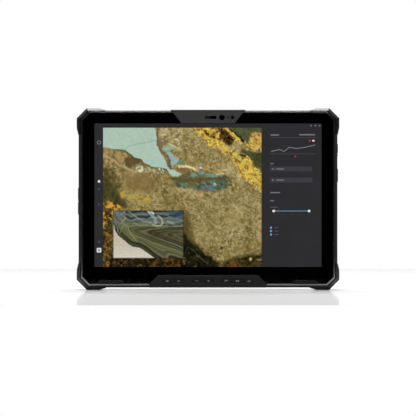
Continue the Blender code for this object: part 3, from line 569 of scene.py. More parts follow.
def paint_delta(art):
    """Salt ponds between olive dams, with the bright quarry and the orange bank above them."""
    art.area([(80.5, 47), (85.5, 43), (92.6, 43.5), (99, 48.5), (99.5, 56.5), (94, 55.6), (88.3, 51.3)],
             (118, 98, 54), (136, 112, 66), soft=1.2, torn=0.5)
    art.area([(78, 58), (98, 50), (112, 47), (126, 50), (141, 55), (146, 62), (140, 68), (126, 73),
              (108, 71), (90, 68), (80, 63)], (122, 114, 70), (96, 92, 56), soft=1.5, torn=1, grain=0.3)
    art.flecks([(84, 63), (98, 61), (112, 64), (126, 58), (142, 58), (142, 66), (126, 72), (108, 71),
                (90, 68)], 2.6, 0.36, (112, 148, 134), (92, 124, 114), 19, 1.5)
    ponds = [([(99.7, 50.6), (104.6, 50.3), (107.5, 54.1), (103.9, 56.3), (99.9, 54.9)], (132, 162, 150)),
             ([(108.9, 48.5), (115.3, 48.5), (116, 52.7), (111, 54.9), (108.9, 52.7)], (122, 154, 156)),
             ([(116.7, 52), (126.6, 51.3), (136.5, 53.7), (135.8, 55.6), (123.8, 56.3), (116.7, 55.6)],
              (122, 158, 140)),
             ([(82.6, 64.1), (89.7, 64.4), (89.7, 67.6), (83.3, 66.9)], (74, 98, 96)),
             ([(91, 65), (98, 67), (98, 70), (91, 68)], (102, 124, 84)),
             ([(98.2, 66.2), (106.7, 67), (108.2, 69.8), (101.1, 69)], (92, 128, 116)),
             ([(113.8, 60.5), (126.6, 59.8), (128.7, 64.1), (116.7, 64.8)], (104, 144, 122)),
             ([(130.9, 60.5), (140.8, 61.2), (139.4, 64.8), (131.6, 66.9)], (84, 126, 114)),
             ([(111, 66.2), (123.8, 65.5), (127.3, 68.3), (123.8, 72.6), (112.4, 71.2)], (112, 122, 128))]
    for outline, tint in ponds:
        art.area(outline, tint, tuple(0.84 * value for value in tint), soft=1.2, torn=0.5)
    art.veins([(82, 58), (140, 56), (140, 68), (110, 72), (84, 68)], 5, 0.16, (64, 64, 38), seed=4, soft=2,
              amount=0.7)
    art.line([(78.4, 58.5), (98.2, 59.8), (119.5, 58.4), (140.8, 56.4)], 3, (104, 88, 54), (84, 78, 46),
             soft=1.6)
    art.line([(86.2, 43.8), (92.6, 43.2), (98.2, 44.9), (103.9, 47.1), (107.5, 49.2)], 2.4, (240, 220, 178),
             (236, 212, 160), soft=1.2)
    for u, v, radius, tint in ((89, 44, 1.0, (226, 196, 80)), (107, 48.6, 1.5, (210, 150, 56)),
                               (110.8, 42.4, 1.7, (150, 144, 150)), (110.5, 45.6, 1.3, (224, 212, 200)),
                               (126.3, 63.7, 1.2, (214, 202, 166)), (145, 65, 1.4, (70, 50, 28)),
                               (142, 63, 1.0, (206, 158, 70)), (119.5, 26.3, 1.2, (100, 148, 140))):
        art.spot(u, v, radius, tint)
    art.line([(113.8, 46.6), (120.9, 48.7), (128, 50.8), (136.5, 51.6)], 1.4, (206, 158, 80),
             (184, 142, 78))
    art.line([(129, 52.9), (137, 52.2)], 1.0, (226, 208, 164))
    art.line([(121.5, 25), (131, 26)], 1.4, (134, 110, 96), soft=1.4)
    art.flecks([(84, 68), (100, 70), (118, 73), (118, 80), (88, 78)], 2.6, 0.45, (202, 164, 116),
               (196, 172, 122), 11, amount=0.8)


def paint_groves(art):
    """Yellow tree belts with black shade, the bare ridge beside them and the dark wood behind."""
    art.area([(143, -3), (183, -3), (183, 8), (170, 6), (164, 18), (158, 14), (152, 6)], (92, 96, 66),
             (70, 76, 46), soft=2, torn=1)
    art.area([(157, 24), (166, 27), (183, 27), (183, 54), (172, 43), (166, 35), (157, 31.5)], (56, 60, 32),
             (94, 92, 50), soft=2, torn=1.5)
    scrub = [(167.8, 6), (173.4, 4.5), (183, 6), (183, 27), (172, 25.5), (165, 26.5), (161.5, 22),
             (165.5, 15)]
    art.area(scrub, (206, 160, 74), (216, 184, 96), soft=2, torn=1.5, contrast=4)
    art.veins(scrub, 4, 0.22, (116, 96, 44), (84, 78, 40), 5, soft=2, amount=0.8)
    art.spot(177, 24.8, 1.2, (56, 70, 92))
    art.spot(166.3, 24.4, 1.0, (60, 66, 70))
    first = [(98.9, -3), (106.7, 6.6), (116.7, 13.7), (119.5, 20.8), (126.6, 23.5), (133.7, 22.6),
             (140.8, 18.6), (150, 15), (156, 18), (157, 14), (146, 5), (138, -3)]
    second = [(133, 23.6), (138.7, 20.4), (149.3, 28.2), (159.2, 31.6), (167.8, 35.8), (172, 44),
              (183, 55), (183, 76), (172, 66.2), (162.1, 57.7), (155, 54.9), (151.4, 43.5), (148.6, 36.4),
              (140.8, 32.2), (135.1, 27.9)]
    for number, belt in enumerate((first, second)):
        art.area(belt, (190, 154, 62), (226, 194, 88), soft=2, torn=2.2, contrast=4)
        art.veins(belt, 4.2, 0.2, (104, 78, 32), (80, 60, 28), 6 + number, soft=2, amount=0.75)
        art.veins(belt, 2.8, 0.12, (240, 220, 120), seed=8 + number, soft=2, amount=0.6)
    art.flecks([(112, -3), (140, -3), (150, 12), (146, 20), (128, 16), (118, 8)], 3.6, 0.3, (40, 26, 14),
               (84, 52, 26), 12, 3)
    art.area([(132.3, 3.8), (139.4, 1.5), (143.6, 8), (148, 14), (144, 19.5), (138, 16), (133.7, 10)],
             (16, 12, 8), (92, 66, 26), soft=2, torn=2, contrast=6)
    art.line([(137.3, 0), (147.9, 8), (156.4, 16.5)], 1.5, (230, 210, 106), (208, 174, 80))
    art.line([(142.2, 0), (149.3, 5.2), (156.4, 11.6), (158.5, 15.8)], 2.0, (10, 10, 6), (30, 32, 20))
    art.line([(157, 31), (162, 34)], 1.6, (28, 26, 12))
    for step in range(5):
        track = [(140 + 2.6 * step, 46 - step), (149 + 2.4 * step, 57 + step),
                 (153 + 2.4 * step, 64 + step)]
        art.line(track, 0.9, (198, 184, 140), soft=1.2, amount=0.6)
    art.line([(133, 49), (142, 46)], 2.6, (208, 188, 136), soft=3, amount=0.7)


def paint_south(art):
    """Below the middle: orange scrub on the left edge, a pale crest and the dark foreground."""
    left = [(-3, 79), (10, 84), (20, 91), (12, 95), (12, 162), (-3, 162)]
    art.area(left, (58, 56, 28), (100, 86, 40), soft=3, torn=2, contrast=4)
    art.flecks([(-3, 80), (8, 83), (22, 90), (20, 96), (-3, 120)], 3.6, 0.42, (222, 156, 62),
               (204, 150, 58), 13, 2)
    art.flecks(rectangle(-3, 13, 118, 162), 3, 0.3, (134, 96, 42), (150, 104, 44), 14, 3)
    art.veins(rectangle(-3, 13, 96, 162), 4, 0.2, (30, 30, 14), seed=10, amount=0.8)
    art.area([(88, 92), (96, 96), (100, 112), (104, 128), (112, 138), (88, 138)], (70, 64, 28),
             (94, 84, 42), soft=9, torn=2, amount=0.85)
    art.line([(146, 87.5), (151, 90), (155, 94.3), (158, 98), (160, 103)], 1.4, (206, 188, 138), soft=1.6,
             amount=0.75)
    art.area([(136, 98), (146, 92), (154, 97), (156, 104), (140, 106)], (166, 148, 94), (180, 160, 108),
             soft=7, amount=0.5, torn=2)
    art.flecks([(174, 84), (183, 82), (183, 134), (172, 126), (170, 104)], 3.4, 0.4, (196, 172, 128),
               (180, 152, 108), 15, amount=0.7)
    art.line([(147.3, 117.1), (144.5, 123.8), (140.7, 128.6), (136, 135)], 1.2, (208, 194, 150), soft=1.2,
             amount=0.85)
    art.spot(142, 129, 1.1, (30, 24, 12))
    art.spot(134.4, 137.2, 1.3, (32, 26, 14))
    art.area([(8, 147), (94, 147), (94, 162), (8, 162)], (14, 13, 6), (42, 35, 18), soft=3, contrast=4)
    art.flecks(rectangle(10, 92, 148, 162), 3, 0.16, (104, 84, 40), (96, 62, 32), 16, 2)
    art.veins(rectangle(60, 92, 147, 162), 3, 0.16, (132, 84, 46), seed=11, amount=0.7)
    dark = [(91, 118), (96, 126), (104, 134), (114, 141), (124, 148), (131, 153), (134, 162), (88, 162),
            (88, 122)]
    art.area(dark, (10, 11, 5), (36, 36, 19), soft=5, torn=2.5, contrast=4)
    art.line([(100.6, 137.2), (108, 145), (118.7, 155.3)], 1.2, (104, 100, 68), soft=1.5, amount=0.7)
    art.flecks(rectangle(90, 112, 136, 162), 2.8, 0.16, (116, 82, 42), (90, 80, 40), 17, 3)
    art.area([(132, 162), (138, 152), (150, 148), (162, 145), (183, 143), (183, 162)], (24, 22, 10),
             (74, 65, 32), soft=4, torn=2, contrast=5)
    art.flecks([(142, 151), (160, 150), (162, 160), (140, 160)], 2.6, 0.4, (132, 78, 42), (110, 62, 34),
               18, 2)
    art.line([(137.8, 150.5), (148, 147.5), (162.6, 143.9), (180, 139)], 1.0, (84, 78, 40), soft=1.4,
             amount=0.8)
    art.spot(167.4, 149.2, 1.4, (206, 192, 88))
    art.line([(175, 150), (181, 149)], 1.6, (168, 144, 88), soft=1.4)


def paint_map(width, height):
    """An aerial view: a sage bay, a spit and lagoons, olive steppe and belts of yellow trees."""
    art = Canvas(width, height, 0.8, 100, 1.0)
    paint_land(art, rectangle(-9, width + 9, -9, height + 9))
    paint_west(art)
    paint_bay(art)
    paint_delta(art)
    paint_groves(art)
    paint_south(art)
    return art


def paint_inset(width, height):
    """A close view of banded rock: thin layers in a lying fold over a pale slab, hazy at the top."""
    art = Canvas(width, height, 0.55, 300, 0.25)
    edge = [(-2, 6), (0.6, 14.6), (2.2, 21.9), (6.3, 28.4), (12.8, 33.3), (17.7, 38.1), (22.5, 41),
            (29.8, 42.2), (33.9, 44.2), (39.6, 48.3), (50, 56), (-3, 60)]
    nose, lean = (31.4, 23.5), math.radians(6.7)
    swirl = cloud(art.u, art.v, 24, 320, 3) - 0.5
    ripple = cloud(art.u, art.v, 9, 330, 2) - 0.5
    along = (art.u - nose[0]) * math.cos(lean) + (art.v - nose[1]) * math.sin(lean)
    aside = (art.v - nose[1]) * math.cos(lean) - (art.u - nose[0]) * math.sin(lean)
    fold = along / 4.5 - np.sqrt(aside ** 2 + 6.0)
    above = art.distance(edge[:-1])
    far = ramp(above, 6, 17)
    haze = ramp(24 - art.v, 0, 16)
    layer = above * (1 - far) + (fold + 20) * far + 1.5 * ripple + haze * (9 * swirl + 4 * ripple)
    flat = np.zeros_like(layer)
    bands = 0.5 * value_noise(layer / 2.0, flat, 1.0, 341) + 0.5 * value_noise(layer / 0.9, flat, 1.0, 342)
    tone = np.clip(0.5 + 1.7 * (bands - 0.5), 0, 1)[..., None]
    low = np.array((38, 40, 24)) * (1 - tone) + np.array((112, 113, 78)) * tone
    sky = np.array((40, 49, 50)) * (1 - tone) + np.array((120, 128, 118)) * tone
    mixing = ramp(art.v + 8 * swirl, 8, 22)[..., None]
    art.colour = sky * (1 - mixing) + low * mixing
    art.area([(58, -4), (84, -4), (84, 12), (70, 9)], (46, 68, 86), (62, 88, 108), soft=8, amount=0.7,
             grain=0)
    art.area([(34, 22), (50, 20), (84, 22), (84, 38), (66, 34), (44, 31)], (64, 52, 38), (84, 72, 52),
             soft=9, amount=0.5, grain=0)
    art.area([(12, 14), (28, 16), (34, 28), (24, 34), (12, 28)], (104, 108, 60), (116, 120, 70), soft=9,
             amount=0.35)
    wisps = [
        (3.4, (142, 164, 158), [(38.7, -1), (43.6, 4.9), (47.7, 8.9), (48.5, 14)]),
        (1.2, (214, 222, 218), [(38.7, 0), (42, 2.8)]),
        (1.6, (230, 236, 230), [(44, 2), (46, 4)]),
        (1.1, (222, 224, 190),
         [(50.9, 5.7), (55, 8.9), (56.6, 13.8), (55, 16.6), (50.9, 17.5), (44.4, 15.8)]),
        (1.2, (150, 164, 150), [(17.7, 0.8), (27.4, 8.1), (35.5, 12.2), (44.4, 13.8)]),
        (1.2, (186, 158, 108), [(8.7, 15.4), (11.2, 12.2), (14.5, 8.4), (12, 5)]),
        (1.0, (146, 150, 96),
         [(7.9, 26), (9.5, 21), (12.8, 15.4), (16.4, 17.9), (18.5, 23.5), (22.5, 30), (27, 34)]),
        (1.0, (150, 158, 110), [(24, 14), (31, 17.5), (42, 17), (52, 19), (62, 17)]),
        (1.6, (136, 138, 136), [(0, 11), (4, 16), (6, 21), (5, 25)]),
        (1.4, (136, 148, 150), [(7.5, 5.8), (12, 2.4), (15, 0)]),
        (1.1, (106, 116, 122), [(0, 3), (5, 4), (9, 8)]),
        (2.6, (138, 160, 150), [(62.3, 13), (68.7, 15)]),
        (0.9, (126, 144, 146), [(62.3, 6.5), (72, 9.3), (80, 12)]),
        (1.0, (140, 148, 130), [(69, 18), (80, 18)]),
        (0.8, (104, 104, 76), [(50, 24), (62, 22), (80, 23)]),
    ]
    for width_mm, tint, points in wisps:
        art.line(points, width_mm, tint, soft=1.5, amount=0.8, grain=0)
    art.line(edge[2:-1], 2.6, (30, 24, 9), soft=1.2)
    art.area(edge, (194, 182, 164), (206, 196, 178), soft=0.8, grain=0.4, contrast=1.5)
    pale = ramp(art.v, 36, 56) * (art.depth(edge) > 0.5)
    art.lay(0.5 * pale, (224, 219, 206))
    frame_gap = np.minimum(np.minimum(art.u, width - art.u), np.minimum(art.v, height - art.v))
    art.lay(0.8 * ramp(1.0 - frame_gap, 0, 0.8), (34, 30, 28))
    return art


# ---------------------------------------------------------------- the display, in millimetres
def box_mm(node):
    """The lowest and highest corner of a CAD node."""
    return [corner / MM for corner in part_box(node)]


def middle_of(node):
    low, high = box_mm(node)
    return (low + high) / 2


def plate(bm, outline, near, far, axis="Y"):
    """A closed plate between two planes of y from an outline of (x, z), or of x and (y, z) with axis X."""
    def corner(a, b, depth):
        return Vector((a, depth, b) if axis == "Y" else (depth, a, b)) * MM
    front = [bm.verts.new(corner(a, b, near)) for a, b in outline]
    back = [bm.verts.new(corner(a, b, far)) for a, b in outline]
    bm.faces.new(front)
    bm.faces.new(back[::-1])
    for i in range(len(outline)):
        bm.faces.new((front[i - 1], back[i - 1], back[i], front[i]))


def washer(bm, x, z, outer, inner, near, far, sides=32):
    """A flat ring that faces along y."""
    loops = []
    for radius, y in ((outer, near), (inner, near), (inner, far), (outer, far)):
        loops.append([bm.verts.new(Vector((a, y, b)) * MM) for a, b in disc(x, z, radius, sides)])
    for first, second in zip(loops, loops[1:] + loops[:1]):
        for i in range(sides):
            bm.faces.new((first[i - 1], second[i - 1], second[i], first[i]))


def detail(name, slot, build, body="case", paint=None):
    """A small piece that build(bm) draws, with its faces turned outwards."""
    bm = bmesh.new()
    build(bm)
    bmesh.ops.recalc_face_normals(bm, faces=bm.faces)
    shown(bm, name, slot, body, paint=paint)


PANEL_LOW, PANEL_HIGH = box_mm("lcd_panel")
DARK_MARGIN = 2.6
DISPLAY_LEFT, DISPLAY_TOP = PANEL_LOW.x + DARK_MARGIN, PANEL_HIGH.z - DARK_MARGIN
DISPLAY_WIDTH = PANEL_HIGH.x - PANEL_LOW.x - 2 * DARK_MARGIN
DISPLAY_HEIGHT = PANEL_HIGH.z - PANEL_LOW.z - 2 * DARK_MARGIN
SIDEBAR = 9.8
TOP_BAR = 4.8
MAP_WIDTH, MAP_HEIGHT = 179.8, 158.0
INSET_AT, INSET_WIDTH, INSET_HEIGHT = (11.2, 93.9), 80.2, 54.4
GLASS_BACK = box_mm("touch_glass")[1].y
INK_FRONT, INK_BACK = GLASS_BACK + 0.03, GLASS_BACK + 0.1
LAYER_BACK, LAYER_STEP, LAYER_THICK = GLASS_BACK + 0.28, 0.04, 0.025


def on_display(s, t):
    """The x and z of a display point, s to the right of and t below its top left corner."""
    return DISPLAY_LEFT + s, DISPLAY_TOP - t


def layer_faces(layer):
    """The y of a layer's front and back; higher layers are nearer to the glass."""
    back = LAYER_BACK - layer * LAYER_STEP
    return back - LAYER_THICK, back


def picture_sheet(name, art, s, t, layer):
    """The painted grid as a thin closed sheet on the display, s across and t down."""
    grid = np.arange(art.u.size).reshape(art.u.shape)
    x, z = on_display(s + art.u.ravel(), t + art.v.ravel())
    rim = np.concatenate([grid[0, :-1], grid[:-1, -1], grid[-1, :0:-1], grid[:0:-1, 0]])
    behind = grid.size + np.arange(rim.size)
    cells = np.stack([grid[:-1, :-1], grid[1:, :-1], grid[1:, 1:], grid[:-1, 1:]], -1).reshape(-1, 4)
    walls = np.stack([rim, np.roll(rim, -1), np.roll(behind, -1), behind], -1)
    front, back = layer_faces(layer)
    face_points = np.stack([x, np.full(x.size, front), z], -1)
    rim_points = np.stack([x[rim], np.full(rim.size, back), z[rim]], -1)
    mesh = bpy.data.meshes.new(name)
    points = np.concatenate([face_points, rim_points]) * MM
    mesh.from_pydata(points.tolist(), [], cells.tolist() + walls.tolist() + [behind.tolist()])
    shades = linear(art.colour.reshape(-1, 3))
    colours = np.ones((len(points), 4))
    colours[:, :3] = np.concatenate([shades, shades[rim]])
    mesh.attributes.new("paint", "FLOAT_COLOR", "POINT").data.foreach_set("color", colours.ravel())
    MATERIALS[name] = picture_light(name + "_light")
    shown(mesh, name, "display", paint=name)


def bars(name, paint, layer, outlines):
    """Thin lit shapes joined in one piece, each given by the display points round it."""
    def draw(bm):
        for outline in outlines:
            plate(bm, [on_display(s, t) for s, t in outline], *layer_faces(layer))
    detail(name, "display", draw, paint=paint)


def make_pictures():
    """The dark panel with the map and the rock picture on it."""
    bars("display_panel", "panel_grey", 0, [rectangle(0, DISPLAY_WIDTH, 0, DISPLAY_HEIGHT)])
    picture_sheet("display_map", paint_map(MAP_WIDTH, MAP_HEIGHT), SIDEBAR, TOP_BAR, 1)
    picture_sheet("display_inset", paint_inset(INSET_WIDTH, INSET_HEIGHT), SIDEBAR + INSET_AT[0],
                  TOP_BAR + INSET_AT[1], 2)


def make_sidebar():
    """The round and square marks of the tool bar at the left."""
    middle = 5.2
    button = rounded(middle - 2.6, middle + 2.6, 141.2, 146.4, 1.2)
    bars("sidebar_ring", "icon_grey", 1, [disc(middle, 21.5, 2.3)])
    bars("sidebar_ring_core", "panel_grey", 2, [disc(middle, 21.5, 1.5)])
    bars("sidebar_white", "icon_white", 1, [disc(middle, 65.7, 1.5), button])
    bars("sidebar_core", "icon_grey", 2, [disc(middle, 143.8, 1.2)])
    bars("sidebar_faint", "icon_faint", 1, [disc(middle, t, 1.1) for t in (74.3, 91.9, 134.3)])


def make_control_panel():
    """The panel at the right: a small chart, two rows, plain bars for labels and a slider."""
    left, right = 199.5, 251.6
    rows, legend, slider = (51.6, 64.2), (118.2, 122.0, 126.0), (203.5, 243.6)
    chart = [(200.5, 31.8), (209.6, 29.5), (215.3, 31.6), (220.9, 27.0), (230.0, 28.4), (240.2, 26.7),
             (250.4, 24.4)]
    bars("status_marks", "icon_grey", 1, [disc(s, 2.4, 0.9) for s in (245.9, 250.8, 255.4)])
    headings = [oblong(left + 0.4, 209.6, 13.0, 1.5), oblong(232.3, 250.4, 12.7, 1.5)]
    bars("header_bars", "icon_grey", 1, headings)
    bars("panel_lines", "icon_faint", 1, [oblong(left, right, 16.0, 0.4), oblong(left, right, 34.4, 0.5)])
    bars("chart_line", "chart_tint", 1, [stroke(chart, 0.6)])
    pointer = [(227.0, 38.2), (229.2, 38.2), (228.1, 35.8)]
    bars("red_marks", "icon_red", 1, [disc(244.5, 19.5, 1.1), pointer])
    bars("white_mark", "icon_white", 1, [oblong(247.2, 249.9, 19.5, 2.0)])
    bars("row_boxes", "panel_box", 1, [rounded(left, 247.2, t - 2.85, t + 2.85, 0.6) for t in rows])
    bars("row_marks", "icon_grey", 2, [disc(202.6, t, 1.0) for t in rows]
         + [oblong(206.2, 215.4, t, 1.2) for t in rows])
    labels = ((203.4, 45.6, 1.2), (210.8, 78.4, 1.4), (204.0, 87.7, 1.2))
    bars("label_bars", "icon_grey", 1, [oblong(left, end, t, height) for end, t, height in labels])
    bars("label_faint", "icon_faint", 1, [oblong(left, 208.4, 95.0, 1.0)]
         + [oblong(204.2, 209.0, t, 0.9) for t in legend]
         + [oblong(s, s + 1.0, 102.7, 0.8) for s in (203.5, 213.4, 223.4, 233.4, 242.8)])
    bars("slider_track", "slider_blue", 1, [oblong(*slider, 99.3, 1.2)])
    bars("slider_knobs", "icon_white", 2, [disc(s, 99.3, 1.5) for s in slider])
    bars("legend_dots", "icon_blue", 1, [disc(200.4, t, 1.2) for t in legend])


def face_outline(node, y):
    """The outline of the node's flat face at y, as points (x, z) in order."""
    bm = bmesh.new()
    bm.from_mesh(frame["nodes"][node].data)
    bmesh.ops.remove_doubles(bm, verts=bm.verts, dist=0.001 * MM)
    inside = [face for face in bm.faces if all(abs(vert.co.y / MM - y) < 0.01 for vert in face.verts)]
    rim = [edge for edge in bm.edges if sum(face in inside for face in edge.link_faces) == 1]
    start = rim[0].verts[0]
    order, vert, edge = [], start, rim[0]
    while True:
        order.append((vert.co.x / MM, vert.co.z / MM))
        vert = edge.other_vert(vert)
        if vert == start:
            break
        edge = next(other for other in vert.link_edges if other in rim and other != edge)
    bm.free()
    return order


def draw_glass_print(bm):
    """The black print behind the glass, with a window for the display."""
    window = [on_display(s, t) for s, t in rectangle(0, DISPLAY_WIDTH, 0, DISPLAY_HEIGHT)]
    edges = []
    for points in (face_outline("touch_glass", box_mm("touch_glass")[0].y), window):
        verts = [bm.verts.new(Vector((x, INK_FRONT, z)) * MM) for x, z in points]
        edges += [bm.edges.new((verts[i - 1], verts[i])) for i in range(len(verts))]
    bmesh.ops.triangle_fill(bm, edges=edges, use_beauty=True, normal=(0, -1, 0))
    sheet = bmesh.ops.extrude_face_region(bm, geom=list(bm.faces))
    for item in sheet["geom"]:
        if isinstance(item, bmesh.types.BMVert):
            item.co.y = INK_BACK * MM


detail("glass_print", "display", draw_glass_print, paint="black_ink")
make_pictures()
make_sidebar()
make_control_panel()


# ---------------------------------------------------------------- small details, in millimetres
def key_marks():
    """The plain mark of each key in order, as closed outlines round the middle of the key."""
    house = [(-1.5, -1.0), (1.5, -1.0), (1.5, 0.1), (0, 1.2), (-1.5, 0.1)]
    back = [(-1.4, 0), (0.1, 1.1), (0.1, 0.4), (1.4, 0.4), (1.4, -0.4), (0.1, -0.4), (0.1, -1.1)]
    down = [rectangle(-1.5, 1.5, -0.3, 0.3)]
    up = [rectangle(-1.4, 1.4, -0.3, 0.3), rectangle(-0.3, 0.3, 0.32, 1.3),
          rectangle(-0.3, 0.3, -1.3, -0.32)]
    flag = [rectangle(-1.5, -1.0, -1.2, 1.2), rectangle(-0.9, 1.5, 0.0, 1.2)]
    squares = [rectangle(-1.6, -0.2, -1.0, 1.0), rectangle(0.2, 1.6, -1.0, 1.0)]
    rising = [rectangle(-1.6, -0.9, -1.1, -0.1), rectangle(-0.4, 0.4, -1.1, 0.5),
              rectangle(0.9, 1.6, -1.1, 1.2)]
    return [[house], [back], down, up, flag, squares, rising]


def make_key_details():
    """A raised mark on every key."""
    for number, mark in enumerate(key_marks(), 1):
        key = f"key_{number}"
        x, _, z = middle_of(key)
        front = box_mm(key)[0].y

        def draw(bm):
            for outline in mark:
                plate(bm, [(x + 1.1 * a, z + b) for a, b in outline], front - 0.05, front)
        detail(f"{key}_mark", "key_plastic", draw, key, "key_print")


def make_strip_details():
    """The shutter's thumb ridges, the rings of the camera and the sensor window, and a grey dot painted in
    the camera lens as its highlight.
    """
    sensor, camera = middle_of("infrared_window"), middle_of("front_camera")
    front = box_mm("infrared_window")[0].y
    detail("infrared_ring", "dark_lens",
           lambda bm: washer(bm, sensor.x, sensor.z, 1.8, 1.2, front - 0.1, front))
    low, high = box_mm("shutter_slider")
    middle = (low.z + high.z) / 2

    def ridges(bm):
        for i in range(4):
            left = low.x + 0.9 + 1.2 * i
            plate(bm, rectangle(left, left + 0.5, middle - 1.1, middle + 1.1), low.y - 0.08, low.y)
    detail("shutter_ridges", "key_plastic", ridges, "shutter_slider")
    top = box_mm("front_camera")[0].y
    detail("front_camera_iris", "dark_lens",
           lambda bm: washer(bm, camera.x, sensor.z, 2.3, 0.9, top - 0.15, top), paint="gap_black")
    # A grey dot in the middle of the dark lens: a painted highlight standing for the lens's reflection.
    detail("front_camera_painted_glint", "dark_lens",
           lambda bm: plate(bm, disc(camera.x, sensor.z, 0.7), top - 0.08, top), paint="key_print")


def make_anchor_details():
    """Brass insert rings and their dark threads in the four strap anchors of the back."""
    back = box_mm("rear_cover")[1].y
    anchors = [(side * 56, height) for side in (-1, 1) for height in (180, 104)]

    def inserts(bm):
        for x, z in anchors:
            washer(bm, x, z, 3.6, 1.7, back - 0.99, back - 0.15)

    def threads(bm):
        for x, z in anchors:
            plate(bm, disc(x, z, 1.68, 24), back - 0.99, back - 0.8)
    detail("anchor_inserts", "gold_contacts", inserts)
    detail("anchor_threads", "seal_rubber", threads)


def make_back_details():
    """A blank rating plate, grille bars in the two speaker slots and rings round the rear lenses."""
    back = box_mm("rear_cover")[1].y
    label = back + 0.12

    def plate_lines(bm):
        for row in range(3):
            z = 112.5 - 4 * row
            plate(bm, rectangle(-30, -6 - 5 * row, z, z + 0.9), label, label + 0.04)
        for i in range(12):
            left = 10 + 1.7 * i + 0.5 * (i % 3)
            plate(bm, rectangle(left, left + 0.6 + 0.3 * (i % 2), 104, 113.4), label, label + 0.04)

    def grille(bm):
        for side in (-1, 1):
            for i in range(9):
                x = side * (99 + 2 * i)
                plate(bm, rectangle(x - 0.3, x + 0.3, 9.0, 18.4), back - 1.5, back - 0.9)
    detail("rating_plate", "cover_paint",
           lambda bm: plate(bm, rounded(-34, 34, 100, 118, 1.5), back, label), paint="label_grey")
    detail("rating_plate_marks", "cover_paint", plate_lines, paint="print_grey")
    detail("grille_bars", "cover_paint", grille, paint="gap_black")
    top = box_mm("rear_camera_window")[1].y
    for node, slot, radius, paint in (("rear_camera", "dark_lens", 3.4, "sheet_metal"),
                                      ("flash_lens", "light_guide", 1.9, "pale_plastic")):
        x, _, z = middle_of(node)
        detail(f"{node}_ring", slot, lambda bm: washer(bm, x, z, radius, 0.72 * radius, top, top + 0.12),
               paint=paint)


def make_door_details():
    """Four upright grip ribs on every port door."""
    for name, side in (("door_left_upper", -1), ("door_left_lower", -1), ("door_right", 1)):
        low, high = box_mm(name)
        face = high.x if side > 0 else low.x

        def ribs(bm):
            for i in range(4):
                y = low.y + 0.9 + 0.7 * i
                plate(bm, rectangle(y, y + 0.3, low.z + 2.2, high.z - 2.2), face, face + side * 0.15, "X")
        detail(f"{name}_ribs", "door_rubber", ribs, name)


def make_battery_details():
    """Each pack's blank label with plain marks, and its charge dots."""
    for name in ("battery_left", "battery_right"):
        low, high = box_mm(name)
        middle = (low.x + high.x) / 2
        shell, label = high.y, high.y + 0.1

        def tag(bm):
            plate(bm, rounded(middle - 50, middle + 50, low.z + 9, low.z + 33, 2), shell, label)

        def dots(bm):
            for i in range(5):
                plate(bm, disc(middle + 22 + 5 * i, low.z + 40, 0.9, 16), shell, shell + 0.15)

        def marks(bm):
            for row in range(3):
                z = low.z + 27 - 5 * row
                plate(bm, rectangle(middle - 46, middle + 10 - 14 * row, z, z + 1.1), label, label + 0.04)
            for i in range(3):
                left = middle + 26 + 7 * i
                plate(bm, rectangle(left, left + 4.5, low.z + 13, low.z + 17.5), label, label + 0.04)
        for part, draw, paint in (("label", tag, "label_grey"), ("charge_dots", dots, "charge_green"),
                                  ("marks", marks, "print_grey")):
            detail(f"{name}_{part}", "battery_shell", draw, name, paint)


def make_power_mark():
    """An open ring and a bar on the power button."""
    low, high = box_mm("power_button")
    _, y, z = middle_of("power_button")
    steps = 14
    turns = [math.radians(40 + 280 * i / steps) for i in range(steps + 1)]

    def draw(bm):
        outer, inner = [[(y + radius * math.sin(turn), z + radius * math.cos(turn)) for turn in turns]
                        for radius in (1.35, 0.95)]
        pieces = [[outer[i], outer[i + 1], inner[i + 1], inner[i]] for i in range(steps)]
        for outline in pieces + [rectangle(y - 0.2, y + 0.2, z + 0.2, z + 1.6)]:
            plate(bm, outline, high.x, high.x + 0.08, "X")
    detail("power_mark", "key_plastic", draw, "power_button", "print_grey")


make_key_details()
make_strip_details()
make_anchor_details()
make_back_details()
make_door_details()
make_battery_details()
make_power_mark()


# ---------------------------------------------------------------- stage, lights and camera, in metres
def placed(name, data, place):
    thing = bpy.data.objects.new(name, data)
    thing.location = place
    bpy.context.scene.collection.objects.link(thing)
    return thing


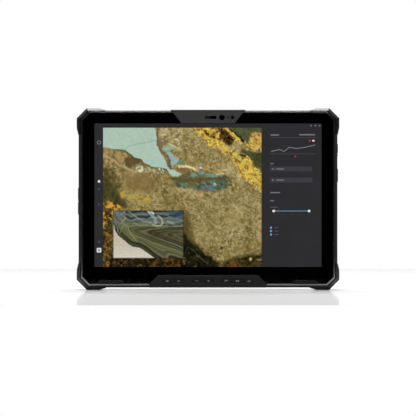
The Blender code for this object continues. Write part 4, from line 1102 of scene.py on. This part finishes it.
def make_floor():
    """A white table top that ends a little in front of the tablet and runs on behind it."""
    mesh = bpy.data.meshes.new("floor")
    corners = rectangle(-FLOOR_SIDE, FLOOR_SIDE, FLOOR_FRONT, FLOOR_BACK)
    mesh.from_pydata([(x, y, -FLOOR_DROP) for x, y in corners], [], [(0, 1, 2, 3)])
    nodes = Nodes("floor_white")
    diffuse = nodes.add("ShaderNodeBsdfDiffuse", {"Color": (0.62, 0.62, 0.62, 1)})
    gloss = nodes.add("ShaderNodeBsdfGlossy", {"Color": (1, 1, 1, 1), "Roughness": 0.08})
    nodes.show(nodes.add("ShaderNodeMixShader", {0: 0.25, 1: diffuse.outputs[0], 2: gloss.outputs[0]}))
    nodes.tree.nodes.remove(nodes.shader)
    mesh.materials.append(nodes.block)
    placed("floor", mesh, (0, 0, 0))


def make_world():
    """White all round for the eye; for light, bright behind and above and dark in front."""
    nodes = Nodes("studio", source=bpy.data.worlds)
    direction = nodes.place.node.outputs["Generated"]
    depth = nodes.add("ShaderNodeSeparateXYZ", {0: direction}).outputs["Y"]
    strength = nodes.span(depth, 0.2, 0.9, 0.03, 1.25, "SMOOTHSTEP")
    light = nodes.add("ShaderNodeBackground", {"Color": (1, 1, 1, 1), "Strength": strength})
    seen = nodes.add("ShaderNodeBackground", {"Color": (1, 1, 1, 1), "Strength": 1.0})
    eye = nodes.add("ShaderNodeLightPath").outputs["Is Camera Ray"]
    nodes.show(nodes.add("ShaderNodeMixShader", {0: eye, 1: light.outputs[0], 2: seen.outputs[0]}))
    bpy.context.scene.world = nodes.block


def area_light(name, place, target, width, height, radiance):
    """A softbox of a given brightness; the power follows from its area."""
    data = bpy.data.lights.new(name, "AREA")
    data.shape = "RECTANGLE"
    data.size = width
    data.size_y = height
    data.energy = radiance * math.pi * width * height
    lamp = placed(name, data, place)
    lamp.rotation_euler = (Vector(target) - Vector(place)).to_track_quat("-Z", "Y").to_euler()
    lamp.visible_camera = False


def make_camera():
    """Square on to the screen, a little below half its height."""
    data = bpy.data.cameras.new("camera")
    data.lens = LENS_LENGTH
    data.sensor_width = SENSOR_WIDTH
    data.clip_start = 0.05
    camera = placed("camera", data, (0, CAD_BOX[0][1] - EYE_DISTANCE, EYE_HEIGHT))
    camera.rotation_euler = (math.radians(90), 0, 0)
    bpy.context.scene.camera = camera


make_floor()
make_world()
area_light("overhead_softbox", (0, 0.57, 1.65), (0, 0, 0.15), 1.9, 0.62, 7.0)
area_light("table_fill", (0, -0.22, 1.9), (0, -0.22, 0), 1.4, 0.28, 22.0)
area_light("front_fill", (0, -2.2, 1.3), (0, 0, 0.1), 1.6, 0.8, 3.4)
make_camera()
bpy.context.scene.view_settings.view_transform = "Standard"
